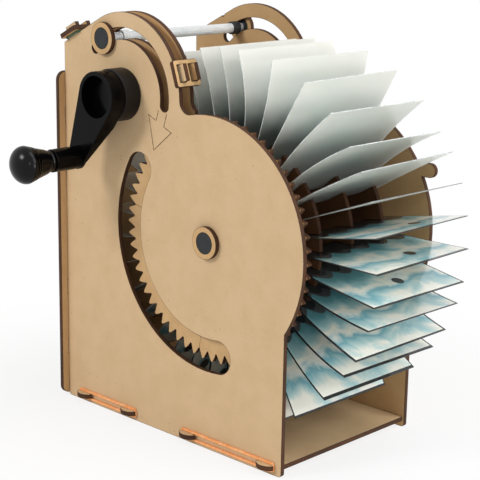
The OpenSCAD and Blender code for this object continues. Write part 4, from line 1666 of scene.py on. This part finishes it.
@dataclass
class Studio:
    """The camera at the photograph's place, soft light and a pale floor."""

    target: Vector = Vector((16.06 * MM, 48.5 * MM, 126.91 * MM))
    distance: float = 919.06 * MM
    azimuth: float = math.radians(43.98)
    elevation: float = math.radians(14.0)
    roll: float = math.radians(0.95)
    lens: float = 104.306
    sensor: float = 36.0
    floor_radius: float = 4.0
    floor_sides: int = 64
    floor_tone: tuple[float, float, float, float] = (0.86, 0.86, 0.86, 1.0)
    shadow_reach: tuple[float, float] = (0.12, 0.36)
    shadow_glow: float = 0.8
    bounce: float = 0.8
    bounce_share: float = 0.2
    sky: float = 0.42
    lamps: tuple[Lamp, ...] = (
        Lamp("key", (-0.35, -1.05, 0.85), 0.35, 7.0),
        Lamp("front", (0.9, -0.9, 0.5), 0.16, 0.9),
        Lamp("right", (1.05, 0.35, 0.8), 0.7, 5.7),
        Lamp("low", (1.2, 0.12, 0.12), 0.5, 4.2),
        Lamp("top", (0.45, 0.2, 1.25), 0.7, 4.6),
    )

    def camera(self) -> None:
        """Sets up the camera."""
        out = math.cos(self.elevation)
        back = Vector((math.sin(self.azimuth) * out, -math.cos(self.azimuth) * out, math.sin(self.elevation)))
        level = Vector((math.cos(self.azimuth), math.sin(self.azimuth), 0.0))
        upright = back.cross(level)
        right = math.cos(self.roll) * level + math.sin(self.roll) * upright
        up = math.cos(self.roll) * upright - math.sin(self.roll) * level
        data = bpy.data.cameras.new("camera")
        data.sensor_fit = "HORIZONTAL"
        data.sensor_width = self.sensor
        data.lens = self.lens
        camera = put("camera", data)
        turned = Matrix((right, up, back)).transposed().to_4x4()
        camera.matrix_world = Matrix.Translation(self.target + self.distance * back) @ turned
        bpy.context.scene.camera = camera

    def hang(self, lamp: Lamp) -> None:
        """Hangs one lamp that points at the object.

        Args:
            lamp: The lamp.
        """
        data = bpy.data.lights.new(lamp.name, "AREA")
        data.size = lamp.size
        data.energy = lamp.power
        hung = put(lamp.name, data)
        hung.location = lamp.place
        hung.rotation_euler = (self.target - Vector(lamp.place)).to_track_quat("-Z", "Y").to_euler()

    def seen(self, board: Board) -> Socket:
        """Tells rays that show the background from rays that carry light.

        Args:
            board: A material's or the world's board.

        Returns:
            1 for camera, glossy and transmission rays.
        """
        path = board.place("ShaderNodeLightPath")
        shown = board.calc("MAXIMUM", path.outputs["Is Camera Ray"], path.outputs["Is Glossy Ray"])
        return board.calc("MAXIMUM", shown, path.outputs["Is Transmission Ray"])

    def floor(self) -> None:
        """Lays a white floor that keeps a faint shadow."""
        made = bmesh.new()
        bmesh.ops.create_circle(made, cap_ends=True, radius=self.floor_radius, segments=self.floor_sides)
        mesh = bake("floor", made)
        floor = put("floor", mesh)
        material = bpy.data.materials.new("floor")
        board = Board.fresh(material)
        matt = board.place("ShaderNodeBsdfDiffuse")
        board.fill(matt, {"Color": self.floor_tone})
        seen = self.seen(board)
        glow = board.place("ShaderNodeEmission")
        board.fill(glow, {"Color": WHITE, "Strength": board.span(seen, 0.0, 1.0, self.bounce, 1.0)})
        way_out = board.place("ShaderNodeVectorMath", operation="DISTANCE")
        board.feed(way_out.inputs[0], board.place("ShaderNodeTexCoord").outputs["Object"])
        board.feed(way_out.inputs[1], (self.target.x, self.target.y, 0.0))
        bright = board.span(way_out.outputs["Value"], *self.shadow_reach, self.shadow_glow, 1.0)
        mixed = board.place("ShaderNodeMixShader")
        share = board.calc("MAXIMUM", board.times(seen, bright), self.bounce_share)
        for socket, value in zip(mixed.inputs, (share, matt.outputs[0], glow.outputs[0])):
            board.feed(socket, value)
        board.feed(board.place("ShaderNodeOutputMaterial").inputs["Surface"], mixed.outputs[0])
        mesh.materials.append(material)

    def world(self) -> None:
        """Sets a white surround that lights the object softly."""
        world = bpy.data.worlds.new("surround")
        board = Board.fresh(world)
        glow = board.place("ShaderNodeBackground")
        board.fill(glow, {"Color": WHITE, "Strength": board.span(self.seen(board), 0.0, 1.0, self.sky, 1.0)})
        board.feed(board.place("ShaderNodeOutputWorld").inputs["Surface"], glow.outputs[0])
        bpy.context.scene.world = world

    def build(self) -> None:
        """Sets up the whole studio."""
        self.camera()
        self.world()
        self.floor()
        for lamp in self.lamps:
            self.hang(lamp)
        bpy.context.scene.view_settings.view_transform = "Standard"


def main() -> None:
    """Builds, dresses and lights the viewer."""
    logging.basicConfig(level=logging.INFO, format="%(name)s: %(message)s")
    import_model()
    Studio().build()
    EffectShelf().build()
    finishes = Finishes()
    parts = (
        Case(Body.CASE, finishes),
        Drum(Body.DRUM, finishes),
        PictureCards(Body.DRUM, finishes),
        Crank(Body.CRANK, finishes),
        Knob(Body.KNOB, finishes),
        Idler(Body.IDLER, finishes),
        FlickRod(Body.FLICK_ROD, finishes),
    )
    for part in parts:
        part.build()
        part.dress()
    bpy.context.view_layer.update()


if __name__ == "__main__":
    main()
